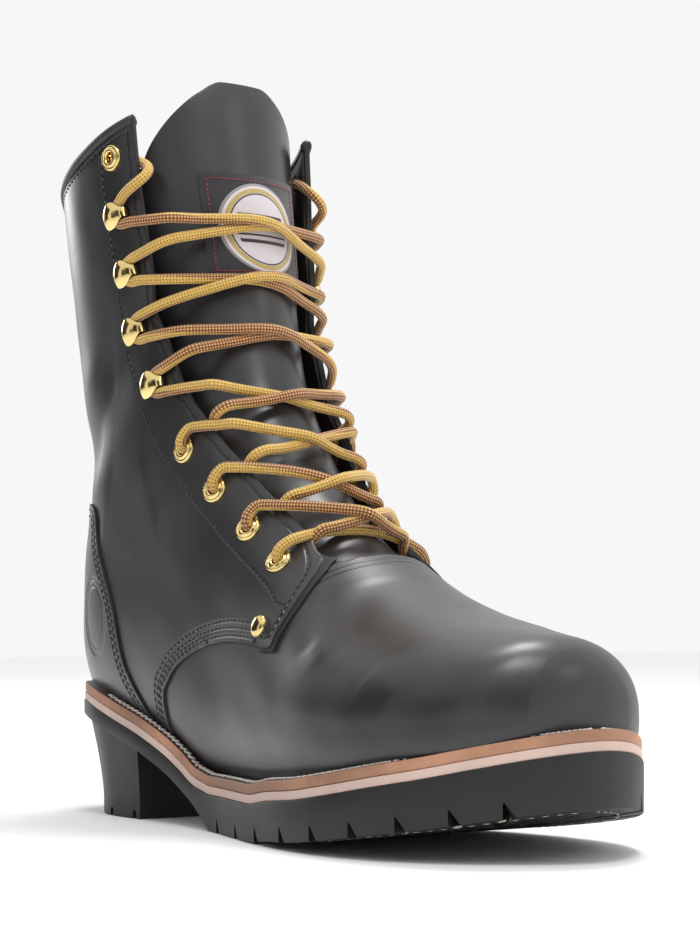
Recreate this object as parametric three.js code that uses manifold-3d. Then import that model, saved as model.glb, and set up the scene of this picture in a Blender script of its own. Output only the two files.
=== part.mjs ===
// Lace-to-toe logger boot, right foot, about 20 cm of shaft over a tall undercut heel.
// Millimetres. The toe points along -Y, the lateral side of the foot is -X, and the floor is z = 0.
// The origin is the middle of the heel's flat bottom. "Along" is measured forward from the back of
// the sole. The upper is one fan of sections: each runs from a ridge point on the front of the boot
// to a base point under the foot or on the back of the leg.
import * as THREE from "three";
import { mergeVertices } from "three/addons/utils/BufferGeometryUtils.js";
import Module from "manifold-3d";

const wasm = await Module();
wasm.setup();

// Driving sizes of the sole
const soleLength = 312;
const soleWidth = 111;
const heelHeight = 45.5;
const forefootThickness = 13.4;
const toeSpring = 17.8;
const toeThickening = 4.7;
const waistThickness = 6;
const treadDepth = 6;
const grooveWidth = 4.4;
const midsoleThickness = 3.2;
const weltThickness = 3.9;
const insoleThickness = 3;
const heelBottomLength = 60;
const heelBottomStart = 15.7;
const heelTaper = 3.4;
const heelTreadDepth = 4;
const heelWellSize = 34;
const heelSlotWidth = 2.4;
const crossLugSize = 19;
const screwHeadRadius = 2.6;
const screwHeadHeight = 1.1;
const screwPocket = 1.6;

// Driving sizes of the upper
const lastWidth = 97;
const instepHeight = 79;
const legWidth = 98;
const legHeight = 220;
const collarDrop = 34;
const wallThickness = 2;
const quarterStep = 1;
const counterStep = 1;
const weltInnerLedge = 2;
const tongueThickness = 3;
const tongueSetback = 15;
const tongueShift = 4;
const labelWidth = 45;
const labelHeight = 41;
const labelThickness = 0.9;

// Driving sizes of the hardware and the lace
const gap = 0.3;
const eyeletHoleRadius = 2.9;
const eyeletRadius = 5.2;
const eyeletInset = 14.5;
const hookInset = 12.5;
const hookWidth = 8.6;
const hookLength = 11.5;
const hookRise = 3.4;
const hookThickness = 1.1;
const hookFootRadius = 2.7;
const eyeletFlange = 1;
const eyeletBarrelWall = 0.7;
const rivetRadius = 4.2;
const rivetHeight = 1.6;
const laceDiameter = 3.8;
const laceLift = 2;
const laceClearance = 3.3;

// Counts of sections and sides for the faceted forms
const formSections = 27;
const formSides = 26;
const innerSections = 22;
const innerSides = 22;
const floorSections = 18;
const floorSides = 16;
const recessSides = 16;
const heelSides = 20;
const hardwareSides = 8;
const laceSides = 6;
const laceSteps = 7;

const heelCentre = heelBottomStart + heelBottomLength / 2;
const laceRadius = laceDiameter / 2;
const vampLevel = 0;
const quarterLevel = vampLevel + quarterStep;
const counterLevel = quarterLevel + counterStep;
const lining = vampLevel - wallThickness;

// The sole's outline: half widths on the lateral and medial sides, as shares of soleWidth
const outline = [
  { along: 0, lateral: 0.036, medial: 0.036 },
  { along: 0.013, lateral: 0.126, medial: 0.126 },
  { along: 0.032, lateral: 0.207, medial: 0.207 },
  { along: 0.064, lateral: 0.284, medial: 0.284 },
  { along: 0.128, lateral: 0.347, medial: 0.347 },
  { along: 0.192, lateral: 0.356, medial: 0.351 },
  { along: 0.256, lateral: 0.351, medial: 0.333 },
  { along: 0.321, lateral: 0.342, medial: 0.302 },
  { along: 0.385, lateral: 0.347, medial: 0.284 },
  { along: 0.449, lateral: 0.369, medial: 0.297 },
  { along: 0.513, lateral: 0.41, medial: 0.338 },
  { along: 0.577, lateral: 0.455, medial: 0.387 },
  { along: 0.641, lateral: 0.491, medial: 0.437 },
  { along: 0.689, lateral: 0.509, medial: 0.468 },
  { along: 0.737, lateral: 0.514, medial: 0.486 },
  { along: 0.785, lateral: 0.5, medial: 0.486 },
  { along: 0.833, lateral: 0.468, medial: 0.468 },
  { along: 0.881, lateral: 0.405, medial: 0.419 },
  { along: 0.923, lateral: 0.324, medial: 0.351 },
  { along: 0.955, lateral: 0.234, medial: 0.27 },
  { along: 0.981, lateral: 0.135, medial: 0.18 },
  { along: 0.994, lateral: 0.063, medial: 0.108 },
  { along: 1, lateral: 0.005, medial: 0.05 },
];

// Side view of the sole: how much of the heel's lift, the toe's spring and the full tread it has
const profile = [
  { along: 0, lift: 1, spring: 0, tread: 0 },
  { along: 0.064, lift: 1, spring: 0, tread: 0 },
  { along: 0.128, lift: 0.931, spring: 0, tread: 0 },
  { along: 0.192, lift: 0.773, spring: 0, tread: 0 },
  { along: 0.256, lift: 0.601, spring: 0, tread: 0 },
  { along: 0.321, lift: 0.368, spring: 0, tread: 0 },
  { along: 0.353, lift: 0.234, spring: 0, tread: 0 },
  { along: 0.385, lift: 0.093, spring: 0, tread: 0.05 },
  { along: 0.417, lift: 0.028, spring: 0, tread: 0.5 },
  { along: 0.442, lift: 0, spring: 0, tread: 1 },
  { along: 0.577, lift: 0, spring: 0, tread: 1 },
  { along: 0.641, lift: 0, spring: 0.1, tread: 1 },
  { along: 0.705, lift: 0, spring: 0.173, tread: 1 },
  { along: 0.769, lift: 0, spring: 0.3, tread: 1 },
  { along: 0.833, lift: 0, spring: 0.455, tread: 1 },
  { along: 0.897, lift: 0, spring: 0.628, tread: 1 },
  { along: 1, lift: 0, spring: 1, tread: 1 },
];

// Sections of the foot. Along is a share of soleLength, rise a share of instepHeight over the welt,
// the widths shares of lastWidth. Middle is where the widest line lies, and the powers say how square
// the section is on the ridge side and on the base side.
const footSections = [
  { ridgeAlong: 0.975, ridgeRise: 0.127, baseAlong: 0.976, baseRise: 0.051, lateral: 0.01, medial: 0.04,
    middle: 0.5, ridgePower: 2, basePower: 2 },
  { ridgeAlong: 0.972, ridgeRise: 0.23, baseAlong: 0.973, baseRise: -0.03, lateral: 0.103, medial: 0.144,
    middle: 0.55, ridgePower: 2, basePower: 2.4 },
  { ridgeAlong: 0.96, ridgeRise: 0.328, baseAlong: 0.963, baseRise: -0.067, lateral: 0.206, medial: 0.247,
    middle: 0.6, ridgePower: 2, basePower: 3 },
  { ridgeAlong: 0.934, ridgeRise: 0.421, baseAlong: 0.937, baseRise: -0.081, lateral: 0.325, medial: 0.345,
    middle: 0.62, ridgePower: 2.1, basePower: 3.8 },
  { ridgeAlong: 0.894, ridgeRise: 0.49, baseAlong: 0.897, baseRise: -0.08, lateral: 0.423, medial: 0.407,
    middle: 0.62, ridgePower: 2.1, basePower: 4.4 },
  { ridgeAlong: 0.84, ridgeRise: 0.574, baseAlong: 0.84, baseRise: -0.082, lateral: 0.495, medial: 0.459,
    middle: 0.62, ridgePower: 2.1, basePower: 4.5 },
  { ridgeAlong: 0.769, ridgeRise: 0.692, baseAlong: 0.769, baseRise: -0.095, lateral: 0.526, medial: 0.474,
    middle: 0.62, ridgePower: 2.05, basePower: 4.5 },
  { ridgeAlong: 0.692, ridgeRise: 0.842, baseAlong: 0.683, baseRise: -0.097, lateral: 0.515, medial: 0.464,
    middle: 0.62, ridgePower: 2, basePower: 4.4 },
  { ridgeAlong: 0.625, ridgeRise: 1, baseAlong: 0.599, baseRise: -0.094, lateral: 0.479, medial: 0.428,
    middle: 0.62, ridgePower: 2.05, basePower: 4.2 },
];

// Sections of the instep, ankle and leg. Rise is a share of legHeight over the welt, and the widths
// are shares of legWidth. The heel's base points lie under the counter, and the later ones climb the
// back of the leg, which leans backwards.
const legSections = [
  { ridgeAlong: 0.551, ridgeRise: 0.432, baseAlong: 0.503, baseRise: -0.034, lateral: 0.434, medial: 0.388,
    middle: 0.6, ridgePower: 2.15, basePower: 4 },
  { ridgeAlong: 0.487, ridgeRise: 0.509, baseAlong: 0.391, baseRise: -0.037, lateral: 0.406, medial: 0.378,
    middle: 0.56, ridgePower: 2.35, basePower: 4 },
  { ridgeAlong: 0.441, ridgeRise: 0.587, baseAlong: 0.263, baseRise: -0.05, lateral: 0.401, medial: 0.388,
    middle: 0.52, ridgePower: 2.6, basePower: 3.8 },
  { ridgeAlong: 0.409, ridgeRise: 0.655, baseAlong: 0.135, baseRise: -0.06, lateral: 0.4, medial: 0.395,
    middle: 0.5, ridgePower: 2.75, basePower: 3.6 },
  { ridgeAlong: 0.388, ridgeRise: 0.72, baseAlong: 0.035, baseRise: -0.026, lateral: 0.398, medial: 0.393,
    middle: 0.5, ridgePower: 2.85, basePower: 2.7 },
  { ridgeAlong: 0.37, ridgeRise: 0.782, baseAlong: 0.016, baseRise: 0.137, lateral: 0.396, medial: 0.392,
    middle: 0.5, ridgePower: 2.85, basePower: 2.2 },
  { ridgeAlong: 0.356, ridgeRise: 0.848, baseAlong: 0.033, baseRise: 0.292, lateral: 0.389, medial: 0.387,
    middle: 0.5, ridgePower: 2.8, basePower: 2.1 },
  { ridgeAlong: 0.343, ridgeRise: 0.912, baseAlong: 0.021, baseRise: 0.447, lateral: 0.42, medial: 0.414,
    middle: 0.5, ridgePower: 2.7, basePower: 2.1 },
  { ridgeAlong: 0.332, ridgeRise: 0.986, baseAlong: 0.005, baseRise: 0.628, lateral: 0.441, medial: 0.434,
    middle: 0.5, ridgePower: 2.6, basePower: 2.1 },
  { ridgeAlong: 0.322, ridgeRise: 1.071, baseAlong: -0.012, baseRise: 0.802, lateral: 0.464, medial: 0.456,
    middle: 0.5, ridgePower: 2.5, basePower: 2.1 },
  { ridgeAlong: 0.316, ridgeRise: 1.159, baseAlong: -0.028, baseRise: 0.947, lateral: 0.479, medial: 0.472,
    middle: 0.5, ridgePower: 2.4, basePower: 2.1 },
  { ridgeAlong: 0.312, ridgeRise: 1.203, baseAlong: -0.033, baseRise: 1.011, lateral: 0.485, medial: 0.478,
    middle: 0.5, ridgePower: 2.4, basePower: 2.1 },
];

// The throat: half of the opening between the facings at each section, as a share of legWidth, and
// how far the tongue lies behind the ridge, as a share of tongueSetback
const throat = [
  { section: 7.9, half: 0.03, back: 0.25 },
  { section: 8.02, half: 0.14, back: 0.26 },
  { section: 8.2, half: 0.205, back: 0.27 },
  { section: 8.47, half: 0.226, back: 0.28 },
  { section: 8.82, half: 0.209, back: 0.29 },
  { section: 9.52, half: 0.219, back: 0.31 },
  { section: 10.4, half: 0.249, back: 0.33 },
  { section: 11.3, half: 0.288, back: 0.34 },
  { section: 12.4, half: 0.317, back: 0.36 },
  { section: 13.4, half: 0.335, back: 0.37 },
  { section: 14.6, half: 0.352, back: 0.38 },
  { section: 15.7, half: 0.37, back: 0.41 },
  { section: 17.3, half: 0.395, back: 0.52 },
  { section: 18.4, half: 0.407, back: 0.68 },
  { section: 20, half: 0.418, back: 1 },
];

// Edges of the overlays in side view: along as a share of soleLength, rise as a share of legHeight
// over the heel seat. The quarter's scallop starts at the welt and ends at the throat.
const quarterEdge = [
  { along: 0.316, rise: -0.13 },
  { along: 0.319, rise: -0.025 },
  { along: 0.335, rise: 0.007 },
  { along: 0.366, rise: 0.039 },
  { along: 0.419, rise: 0.065 },
  { along: 0.484, rise: 0.077 },
  { along: 0.546, rise: 0.073 },
  { along: 0.593, rise: 0.066 },
  { along: 0.601, rise: 0.082 },
  { along: 0.61, rise: 0.117 },
  { along: 0.613, rise: 0.152 },
  { along: 0.611, rise: 0.182 },
  { along: 0.604, rise: 0.21 },
  { along: 0.58, rise: 0.36 },
];
const counterEdge = [
  { along: 0.29, rise: -0.13 },
  { along: 0.265, rise: -0.05 },
  { along: 0.224, rise: 0.034 },
  { along: 0.2, rise: 0.14 },
  { along: 0.156, rise: 0.253 },
  { along: 0.14, rise: 0.315 },
  { along: 0.085, rise: 0.322 },
  { along: 0.03, rise: 0.29 },
  { along: -0.1, rise: 0.27 },
];

// Sections of the hardware rows, counted from the lowest pair of eyelets up
const eyeletSections = [8.91, 9.81, 10.83, 12.02];
const hookSections = [13.75, 15.2, 16.14, 17.1];
const topEyeletSection = 18;
const rivetPlace = { along: 0.561, rise: 0.102 };

// Grooves that part the lugs round the rim: where each leaves the sole's side and how far it leans
const rimGrooves = [
  { along: 0.474, lean: -12 },
  { along: 0.545, lean: -9 },
  { along: 0.615, lean: -4 },
  { along: 0.686, lean: 2 },
  { along: 0.751, lean: 9 },
  { along: 0.812, lean: 18 },
  { along: 0.868, lean: 30 },
  { along: 0.918, lean: 45 },
  { along: 0.958, lean: 66 },
];
const crossLugs = [
  { along: 0.84, side: -0.09 },
  { along: 0.81, side: 0.12 },
  { along: 0.757, side: -0.12 },
  { along: 0.735, side: 0.1 },
  { along: 0.672, side: -0.1 },
  { along: 0.653, side: 0.11 },
  { along: 0.592, side: -0.07 },
  { along: 0.567, side: 0.12 },
];
const soleScrews = [
  { along: 0.925, side: -0.13 },
  { along: 0.938, side: 0.02 },
  { along: 0.925, side: 0.16 },
  { along: 0.76, side: -0.37 },
  { along: 0.79, side: 0.36 },
  { along: 0.6, side: -0.3 },
  { along: 0.62, side: 0.3 },
  { along: 0.41, side: -0.17 },
  { along: 0.425, side: 0.17 },
];

const degrees = Math.PI / 180;
const range = (count) => Array.from({ length: count }, (_, index) => index);

// Smooth curve through the points (place, value). It is level at each high or low point, along each
// level stretch and past its ends.
function curveAt(points, place) {
  const last = points.length - 1;
  if (place <= points[0][0]) return points[0][1];
  if (place >= points[last][0]) return points[last][1];
  const i = points.findIndex((point) => point[0] > place) - 1;
  const slope = (k) => {
    const a = points[Math.max(k - 1, 0)];
    const b = points[Math.min(k + 1, last)];
    const turns = k > 0 && k < last && (points[k][1] - a[1]) * (b[1] - points[k][1]) <= 0;
    return turns ? 0 : (b[1] - a[1]) / (b[0] - a[0]);
  };
  const span = points[i + 1][0] - points[i][0];
  const f = (place - points[i][0]) / span;
  const start = points[i][1] * (2 * f ** 3 - 3 * f ** 2 + 1) + slope(i) * span * (f ** 3 - 2 * f ** 2 + f);
  const end = points[i + 1][1] * (3 * f ** 2 - 2 * f ** 3) + slope(i + 1) * span * (f ** 3 - f ** 2);
  return start + end;
}

const column = (table, key, name) => table.map((row) => [row[key], row[name]]);

// Heights of the sole's layers at a distance along it
const liftCurve = column(profile, "along", "lift");
const springCurve = column(profile, "along", "spring");
const treadCurve = column(profile, "along", "tread");

function outsoleTop(along) {
  const share = along / soleLength;
  const heel = (heelHeight - forefootThickness) * curveAt(liftCurve, share);
  return forefootThickness + heel + (toeSpring + toeThickening) * curveAt(springCurve, share);
}

// Thickness measured square to the sloping sole, as a height
function layerHeight(along, thickness) {
  const step = 2;
  const slope = (outsoleTop(along + step) - outsoleTop(along - step)) / (2 * step);
  return thickness * Math.hypot(1, slope);
}

const midsoleBottom = (along) => outsoleTop(along) + gap;
const midsoleTop = (along) => outsoleTop(along) + layerHeight(along, midsoleThickness);
const weltBottom = (along) => midsoleTop(along) + gap;
const weltTop = (along) => midsoleTop(along) + layerHeight(along, weltThickness);

function outsoleBottom(along) {
  const share = along / soleLength;
  const tread = curveAt(treadCurve, share);
  const ground = toeSpring * curveAt(springCurve, share);
  const waist = outsoleTop(along) - layerHeight(along, waistThickness);
  return tread * ground + (1 - tread) * waist;
}

const lateralCurve = column(outline, "along", "lateral");
const medialCurve = column(outline, "along", "medial");

// Half widths of the sole's outline, drawn in by an inset
function soleHalf(along, inset) {
  const share = (along - inset) / (soleLength - 2 * inset);
  const scale = soleWidth - 2 * inset;
  return { lateral: curveAt(lateralCurve, share) * scale, medial: curveAt(medialCurve, share) * scale };
}

// Turning geometries into solids and back
function asSolid(geometry) {
  const bare = geometry.clone();
  bare.deleteAttribute("normal");
  bare.deleteAttribute("uv");
  const merged = mergeVertices(bare, 1e-4);
  const mesh = new wasm.Mesh({
    numProp: 3,
    vertProperties: new Float32Array(merged.attributes.position.array),
    triVerts: new Uint32Array(merged.index.array),
  });
  return new wasm.Manifold(mesh);
}

function asGeometry(solid) {
  const mesh = solid.getMesh();
  const geometry = new THREE.BufferGeometry();
  geometry.setAttribute("position", new THREE.BufferAttribute(new Float32Array(mesh.vertProperties), 3));
  geometry.setIndex(new THREE.BufferAttribute(new Uint32Array(mesh.triVerts), 1));
  return geometry;
}

// Closed skin over a row of closed loops of points, with a fan over each end
function loftGeometry(loops) {
  const sides = loops[0].length;
  const middle = (loop) => loop.reduce((sum, p) => sum.add(p), new THREE.Vector3()).divideScalar(sides);
  const points = [...loops.flat(), middle(loops[0]), middle(loops[loops.length - 1])];
  const index = [];
  for (const i of range(loops.length - 1)) {
    for (const j of range(sides)) {
      const a = i * sides + j;
      const b = i * sides + (j + 1) % sides;
      index.push(a, b, b + sides, a, b + sides, a + sides);
    }
  }
  const start = loops.length * sides;
  const lastLoop = (loops.length - 1) * sides;
  for (const j of range(sides)) {
    const next = (j + 1) % sides;
    index.push(start, next, j, start + 1, lastLoop + j, lastLoop + next);
  }
  const geometry = new THREE.BufferGeometry().setFromPoints(points);
  geometry.setIndex(index);
  return geometry;
}

// A loft as a solid, whichever way round its loops run
function loft(loops) {
  const solid = asSolid(loftGeometry(loops));
  if (solid.volume() > 0) return solid;
  return asSolid(loftGeometry(loops.map((loop) => [...loop].reverse())));
}

// A bent sheet between a front and a back grid of points, closed round its four edges
function sheetSolid(front, back) {
  const rows = front.length;
  const steps = front[0].length;
  const points = [...front.flat(), ...back.flat()];
  const id = (side, i, k) => side * rows * steps + i * steps + k;
  const quads = [];
  for (const i of range(rows - 1)) {
    for (const k of range(steps - 1)) {
      quads.push([id(0, i, k), id(0, i, k + 1), id(0, i + 1, k + 1), id(0, i + 1, k)]);
      quads.push([id(1, i, k), id(1, i + 1, k), id(1, i + 1, k + 1), id(1, i, k + 1)]);
    }
    quads.push([id(0, i, 0), id(0, i + 1, 0), id(1, i + 1, 0), id(1, i, 0)]);
    quads.push([id(0, i, steps - 1), id(1, i, steps - 1), id(1, i + 1, steps - 1), id(0, i + 1, steps - 1)]);
  }
  for (const k of range(steps - 1)) {
    quads.push([id(0, 0, k), id(1, 0, k), id(1, 0, k + 1), id(0, 0, k + 1)]);
    quads.push([id(0, rows - 1, k), id(0, rows - 1, k + 1), id(1, rows - 1, k + 1), id(1, rows - 1, k)]);
  }
  const skin = (turned) => {
    const geometry = new THREE.BufferGeometry().setFromPoints(points);
    geometry.setIndex(quads.flatMap((quad) => {
      const [a, b, c, d] = turned ? [...quad].reverse() : quad;
      return [a, b, c, a, c, d];
    }));
    return asSolid(geometry);
  };
  const solid = skin(false);
  return solid.volume() > 0 ? solid : skin(true);
}

const at = (x, along, z) => new THREE.Vector3(x, heelCentre - along, z);

// Prism of a side-view outline of [along, z] points, through the whole width
function sidePrism(points, halfWidth) {
  const shape = new THREE.Shape(points.map(([along, z]) => new THREE.Vector2(along - heelCentre, z)));
  const geometry = new THREE.ExtrudeGeometry(shape, { depth: 2 * halfWidth, bevelEnabled: false });
  const frame = new THREE.Matrix4().makeBasis(
    new THREE.Vector3(0, -1, 0), new THREE.Vector3(0, 0, 1), new THREE.Vector3(-1, 0, 0));
  geometry.applyMatrix4(frame.setPosition(halfWidth, 0, 0));
  return asSolid(geometry);
}

// Prism of a front-view outline of [x, z] points, from the toe's side back to a distance along
function frontPrism(points, fromAlong, toAlong) {
  const shape = new THREE.Shape(points.map(([x, z]) => new THREE.Vector2(x, z)));
  const geometry = new THREE.ExtrudeGeometry(shape, { depth: toAlong - fromAlong, bevelEnabled: false });
  const frame = new THREE.Matrix4().makeBasis(
    new THREE.Vector3(1, 0, 0), new THREE.Vector3(0, 0, 1), new THREE.Vector3(0, -1, 0));
  geometry.applyMatrix4(frame.setPosition(0, heelCentre - fromAlong, 0));
  return asSolid(geometry);
}

// Prism of a plan outline of [x, y] points, turned and set down at a place
function planPrism(points, place, turn, height) {
  const shape = new THREE.Shape(points.map(([x, y]) => new THREE.Vector2(x, y)));
  const geometry = new THREE.ExtrudeGeometry(shape, { depth: height, bevelEnabled: false });
  geometry.rotateZ(turn);
  geometry.translate(place.x, place.y, place.z);
  return asSolid(geometry);
}

// The form of the upper
function sectionRow(row, rise, width) {
  const ridgeAlong = row.ridgeAlong * soleLength;
  const baseAlong = row.baseAlong * soleLength;
  return {
    ridgeAlong,
    ridgeZ: weltTop(ridgeAlong) + row.ridgeRise * rise,
    baseAlong,
    baseZ: weltTop(baseAlong) + row.baseRise * rise,
    lateral: row.lateral * width,
    medial: row.medial * width,
    middle: row.middle,
    ridgePower: row.ridgePower,
    basePower: row.basePower,
  };
}

const sections = [
  ...footSections.map((row) => sectionRow(row, instepHeight, lastWidth)),
  ...legSections.map((row) => sectionRow(row, legHeight, legWidth)),
];
const lastSection = sections.length - 1;

// The section at any place between the rows
function sectionAt(place) {
  const found = {};
  for (const key of Object.keys(sections[0])) {
    found[key] = curveAt(sections.map((section, index) => [index, section[key]]), place);
  }
  return found;
}

// A point of a section: turn 0 is the ridge, a positive turn goes round the lateral side
function sectionPoint(section, turn) {
  const span = Math.hypot(section.baseAlong - section.ridgeAlong, section.baseZ - section.ridgeZ);
  const ridgeSide = Math.cos(turn) > 0;
  const power = ridgeSide ? section.ridgePower : section.basePower;
  const reach = (ridgeSide ? section.middle : 1 - section.middle) * span;
  const half = Math.sin(turn) >= 0 ? section.lateral : section.medial;
  const x = -Math.sign(Math.sin(turn)) * half * Math.abs(Math.sin(turn)) ** (2 / power);
  const depth = section.middle * span
    - Math.sign(Math.cos(turn)) * reach * Math.abs(Math.cos(turn)) ** (2 / power);
  const share = depth / span;
  return at(
    x,
    section.ridgeAlong + (section.baseAlong - section.ridgeAlong) * share,
    section.ridgeZ + (section.baseZ - section.ridgeZ) * share);
}

// A point that stands off the form, with the form's outward direction there
function formPoint(place, turn, offset) {
  const step = 0.02;
  const low = Math.max(place - step, 0);
  const high = Math.min(place + step, lastSection);
  const up = sectionPoint(sectionAt(high), turn).sub(sectionPoint(sectionAt(low), turn));
  const here = sectionAt(place);
  const round = sectionPoint(here, turn + step).sub(sectionPoint(here, turn - step));
  const normal = new THREE.Vector3().crossVectors(up, round).normalize();
  const point = sectionPoint(here, turn).addScaledVector(normal, offset);
  return { point, normal, up: up.normalize() };
}

function formSolid(offset, sectionCount, sideCount) {
  const loops = range(sectionCount + 1).map((i) => {
    const place = (i / sectionCount) * lastSection;
    return range(sideCount).map((j) => formPoint(place, (j / sideCount) * 2 * Math.PI, offset).point);
  });
  return loft(loops);
}

// The turn at which a section reaches a distance from the middle line, on the ridge side. Side is 1
// on the lateral side and -1 on the medial.
function turnAtHalf(section, half, side) {
  const width = side > 0 ? section.lateral : section.medial;
  return side * Math.asin(Math.min(half / width, 0.999) ** (section.ridgePower / 2));
}

const halfCurve = column(throat, "section", "half");
const backCurve = column(throat, "section", "back");
const throatHalf = (place) => curveAt(halfCurve, place) * legWidth;
const tongueBack = (place) => curveAt(backCurve, place) * tongueSetback;

// The turn that lies a distance behind the facing's edge, walked along the leather
function turnBehindEdge(place, distance, side) {
  const section = sectionAt(place);
  const step = 0.01 * side;
  let turn = turnAtHalf(section, throatHalf(place), side);
  let walked = 0;
  while (walked < distance) {
    walked += sectionPoint(section, turn).distanceTo(sectionPoint(section, turn + step));
    turn += step;
  }
  return turn;
}

// The places along the sole where its layers and the upper's lower edge have a section
const soleStations = outline.flatMap((row, index) => {
  const next = outline[index + 1];
  const wide = next && next.along - row.along > 0.045;
  return wide ? [row.along, (row.along + next.along) / 2] : [row.along];
});

// Layers of the sole
function soleLayer(inset, bottomAt, topAt) {
  const loops = soleStations.map((share) => {
    const along = inset + share * (soleLength - 2 * inset);
    const half = soleHalf(along, inset);
    return [
      at(-half.lateral, along, bottomAt(along)),
      at(half.medial, along, bottomAt(along)),
      at(half.medial, along, topAt(along)),
      at(-half.lateral, along, topAt(along)),
    ];
  });
  return loft(loops);
}

// A lug groove: a slot that opens into a diamond half way along
function grooveOutline(length) {
  const half = grooveWidth / 2;
  const diamond = grooveWidth;
  return [
    [0, -half], [length * 0.4, -half], [length * 0.52, -diamond], [length * 0.64, -half],
    [length, -half], [length, half], [length * 0.64, half], [length * 0.52, diamond],
    [length * 0.4, half], [0, half],
  ];
}

// Four rounded lobes on a square of the given size
function crossOutline(size) {
  const arm = size / 2;
  const neck = size * 0.14;
  const lobe = size * 0.24;
  const quarter = [[arm, -neck], [arm, neck], [lobe, neck * 0.9], [neck * 0.9, lobe]];
  return range(4).flatMap((k) => quarter.map(([x, y]) => {
    const turn = k * 90 * degrees;
    return [x * Math.cos(turn) - y * Math.sin(turn), x * Math.sin(turn) + y * Math.cos(turn)];
  }));
}

// The hollow inside the rim of lugs lies between these shares of the sole's length and width, and the
// rim's grooves reach this share of its width inwards
const recessStart = 0.53;
const recessEnd = 0.885;
const recessShare = 0.47;
const grooveShare = 0.266;

function recessOutline() {
  const count = recessSides / 2;
  const middle = ((recessStart + recessEnd) / 2) * soleLength;
  const reach = ((recessEnd - recessStart) / 2) * soleLength;
  return range(2 * count).map((k) => {
    const turn = (k / count) * Math.PI;
    const along = middle + reach * Math.cos(turn);
    const half = soleHalf(along, 0);
    const side = (turn <= Math.PI ? -half.lateral : half.medial) * recessShare;
    const round = Math.abs(Math.sin(turn)) ** 0.7;
    return [side * round, heelCentre - along];
  });
}

function makeOutsole() {
  const recessTop = (along) => outsoleBottom(along) + treadDepth;
  const floorLayer = soleLayer(0, (along) => outsoleBottom(along) - toeSpring, recessTop);
  const tall = 4 * toeSpring;
  let cutters = planPrism(recessOutline(), new THREE.Vector3(0, 0, -toeSpring), 0, tall);
  for (const lug of crossLugs) {
    const place = at(lug.side * soleWidth, lug.along * soleLength, -toeSpring);
    cutters = cutters.subtract(planPrism(crossOutline(crossLugSize), place, 45 * degrees, tall));
  }
  const out = 1.36 * grooveWidth;
  for (const side of [-1, 1]) {
    for (const groove of rimGrooves) {
      const along = groove.along * soleLength;
      const half = side < 0 ? soleHalf(along, 0).lateral : soleHalf(along, 0).medial;
      const turn = side < 0 ? groove.lean * degrees : (180 - groove.lean) * degrees;
      const place = at(
        side * (half + out * Math.cos(groove.lean * degrees)),
        along + out * Math.sin(groove.lean * degrees),
        -toeSpring);
      const shape = grooveOutline(grooveShare * soleWidth + out);
      cutters = cutters.add(planPrism(shape, place, turn, tall));
    }
  }
  const body = soleLayer(0, outsoleBottom, outsoleTop).subtract(cutters.intersect(floorLayer));
  return drillScrews(body);
}

// Screw heads sit in shallow round pockets in the lugs and the waist
function screwPlace(screw) {
  const along = screw.along * soleLength;
  return at(screw.side * soleWidth, along, outsoleBottom(along));
}

function screwCylinder(screw, radius, height, sink) {
  const place = screwPlace(screw);
  const geometry = new THREE.CylinderGeometry(radius, radius, height, hardwareSides);
  geometry.rotateX(Math.PI / 2);
  geometry.translate(0, 0, sink);
  const along = screw.along * soleLength;
  const slope = (outsoleBottom(along + 2) - outsoleBottom(along - 2)) / 4;
  geometry.rotateX(-Math.atan(slope));
  geometry.translate(place.x, place.y, place.z);
  return geometry;
}

function drillScrews(body) {
  let drilled = body;
  for (const screw of soleScrews) {
    drilled = drilled.subtract(asSolid(screwCylinder(screw, screwHeadRadius + gap, 2 * screwPocket, 0)));
  }
  return drilled;
}

function makeScrew(screw) {
  return screwCylinder(screw, screwHeadRadius, screwHeadHeight, screwPocket - gap - screwHeadHeight / 2);
}

// The heel: a round-backed block that narrows downwards with a hollow curve
const heelTapers = [
  { share: 0, taper: 1 },
  { share: 0.18, taper: 0.97 },
  { share: 0.45, taper: 0.72 },
  { share: 0.72, taper: 0.36 },
  { share: 1, taper: 0 },
];

function makeHeel() {
  const breast = heelBottomStart + heelBottomLength;
  const top = heelHeight + waistThickness;
  const backWidth = screwPocket;
  const loops = heelTapers.map(({ share, taper }) => {
    const back = heelBottomStart * taper;
    const narrow = heelTaper * taper;
    const count = heelSides / 2;
    const arc = range(count + 1).map((k) => {
      const spread = 1 - Math.cos((k / count) * Math.PI / 2);
      const along = back + (breast - back) * spread;
      return { along, from: (along - back) / (breast - back) * breast };
    });
    const wall = (side) => arc.map(({ along, from }) => {
      const half = soleHalf(from, 0);
      const width = (side < 0 ? half.lateral : half.medial) - narrow;
      return at(side * Math.max(width, backWidth), along, share * top);
    });
    return [...wall(-1).reverse(), ...wall(1)];
  });
  const block = loft(loops);
  const stations = range(16).map((k) => (k / 15) * 1.3 * breast);
  const seat = stations.map((along) => [along, outsoleBottom(along) - gap]);
  const first = [[-breast, 2 * top], [-breast, seat[0][1]]];
  const heel = block.subtract(sidePrism([...first, ...seat, [1.3 * breast, 2 * top]], soleWidth));
  return cutHeelTread(heel);
}

// A sunk middle with one cross lug, slots to the sides and a fan of slots at the back
const heelFanTurns = [-66, -40, -14, 14, 40, 66];
const heelSideSlots = [0.25, 0.62, 0.93];

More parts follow.
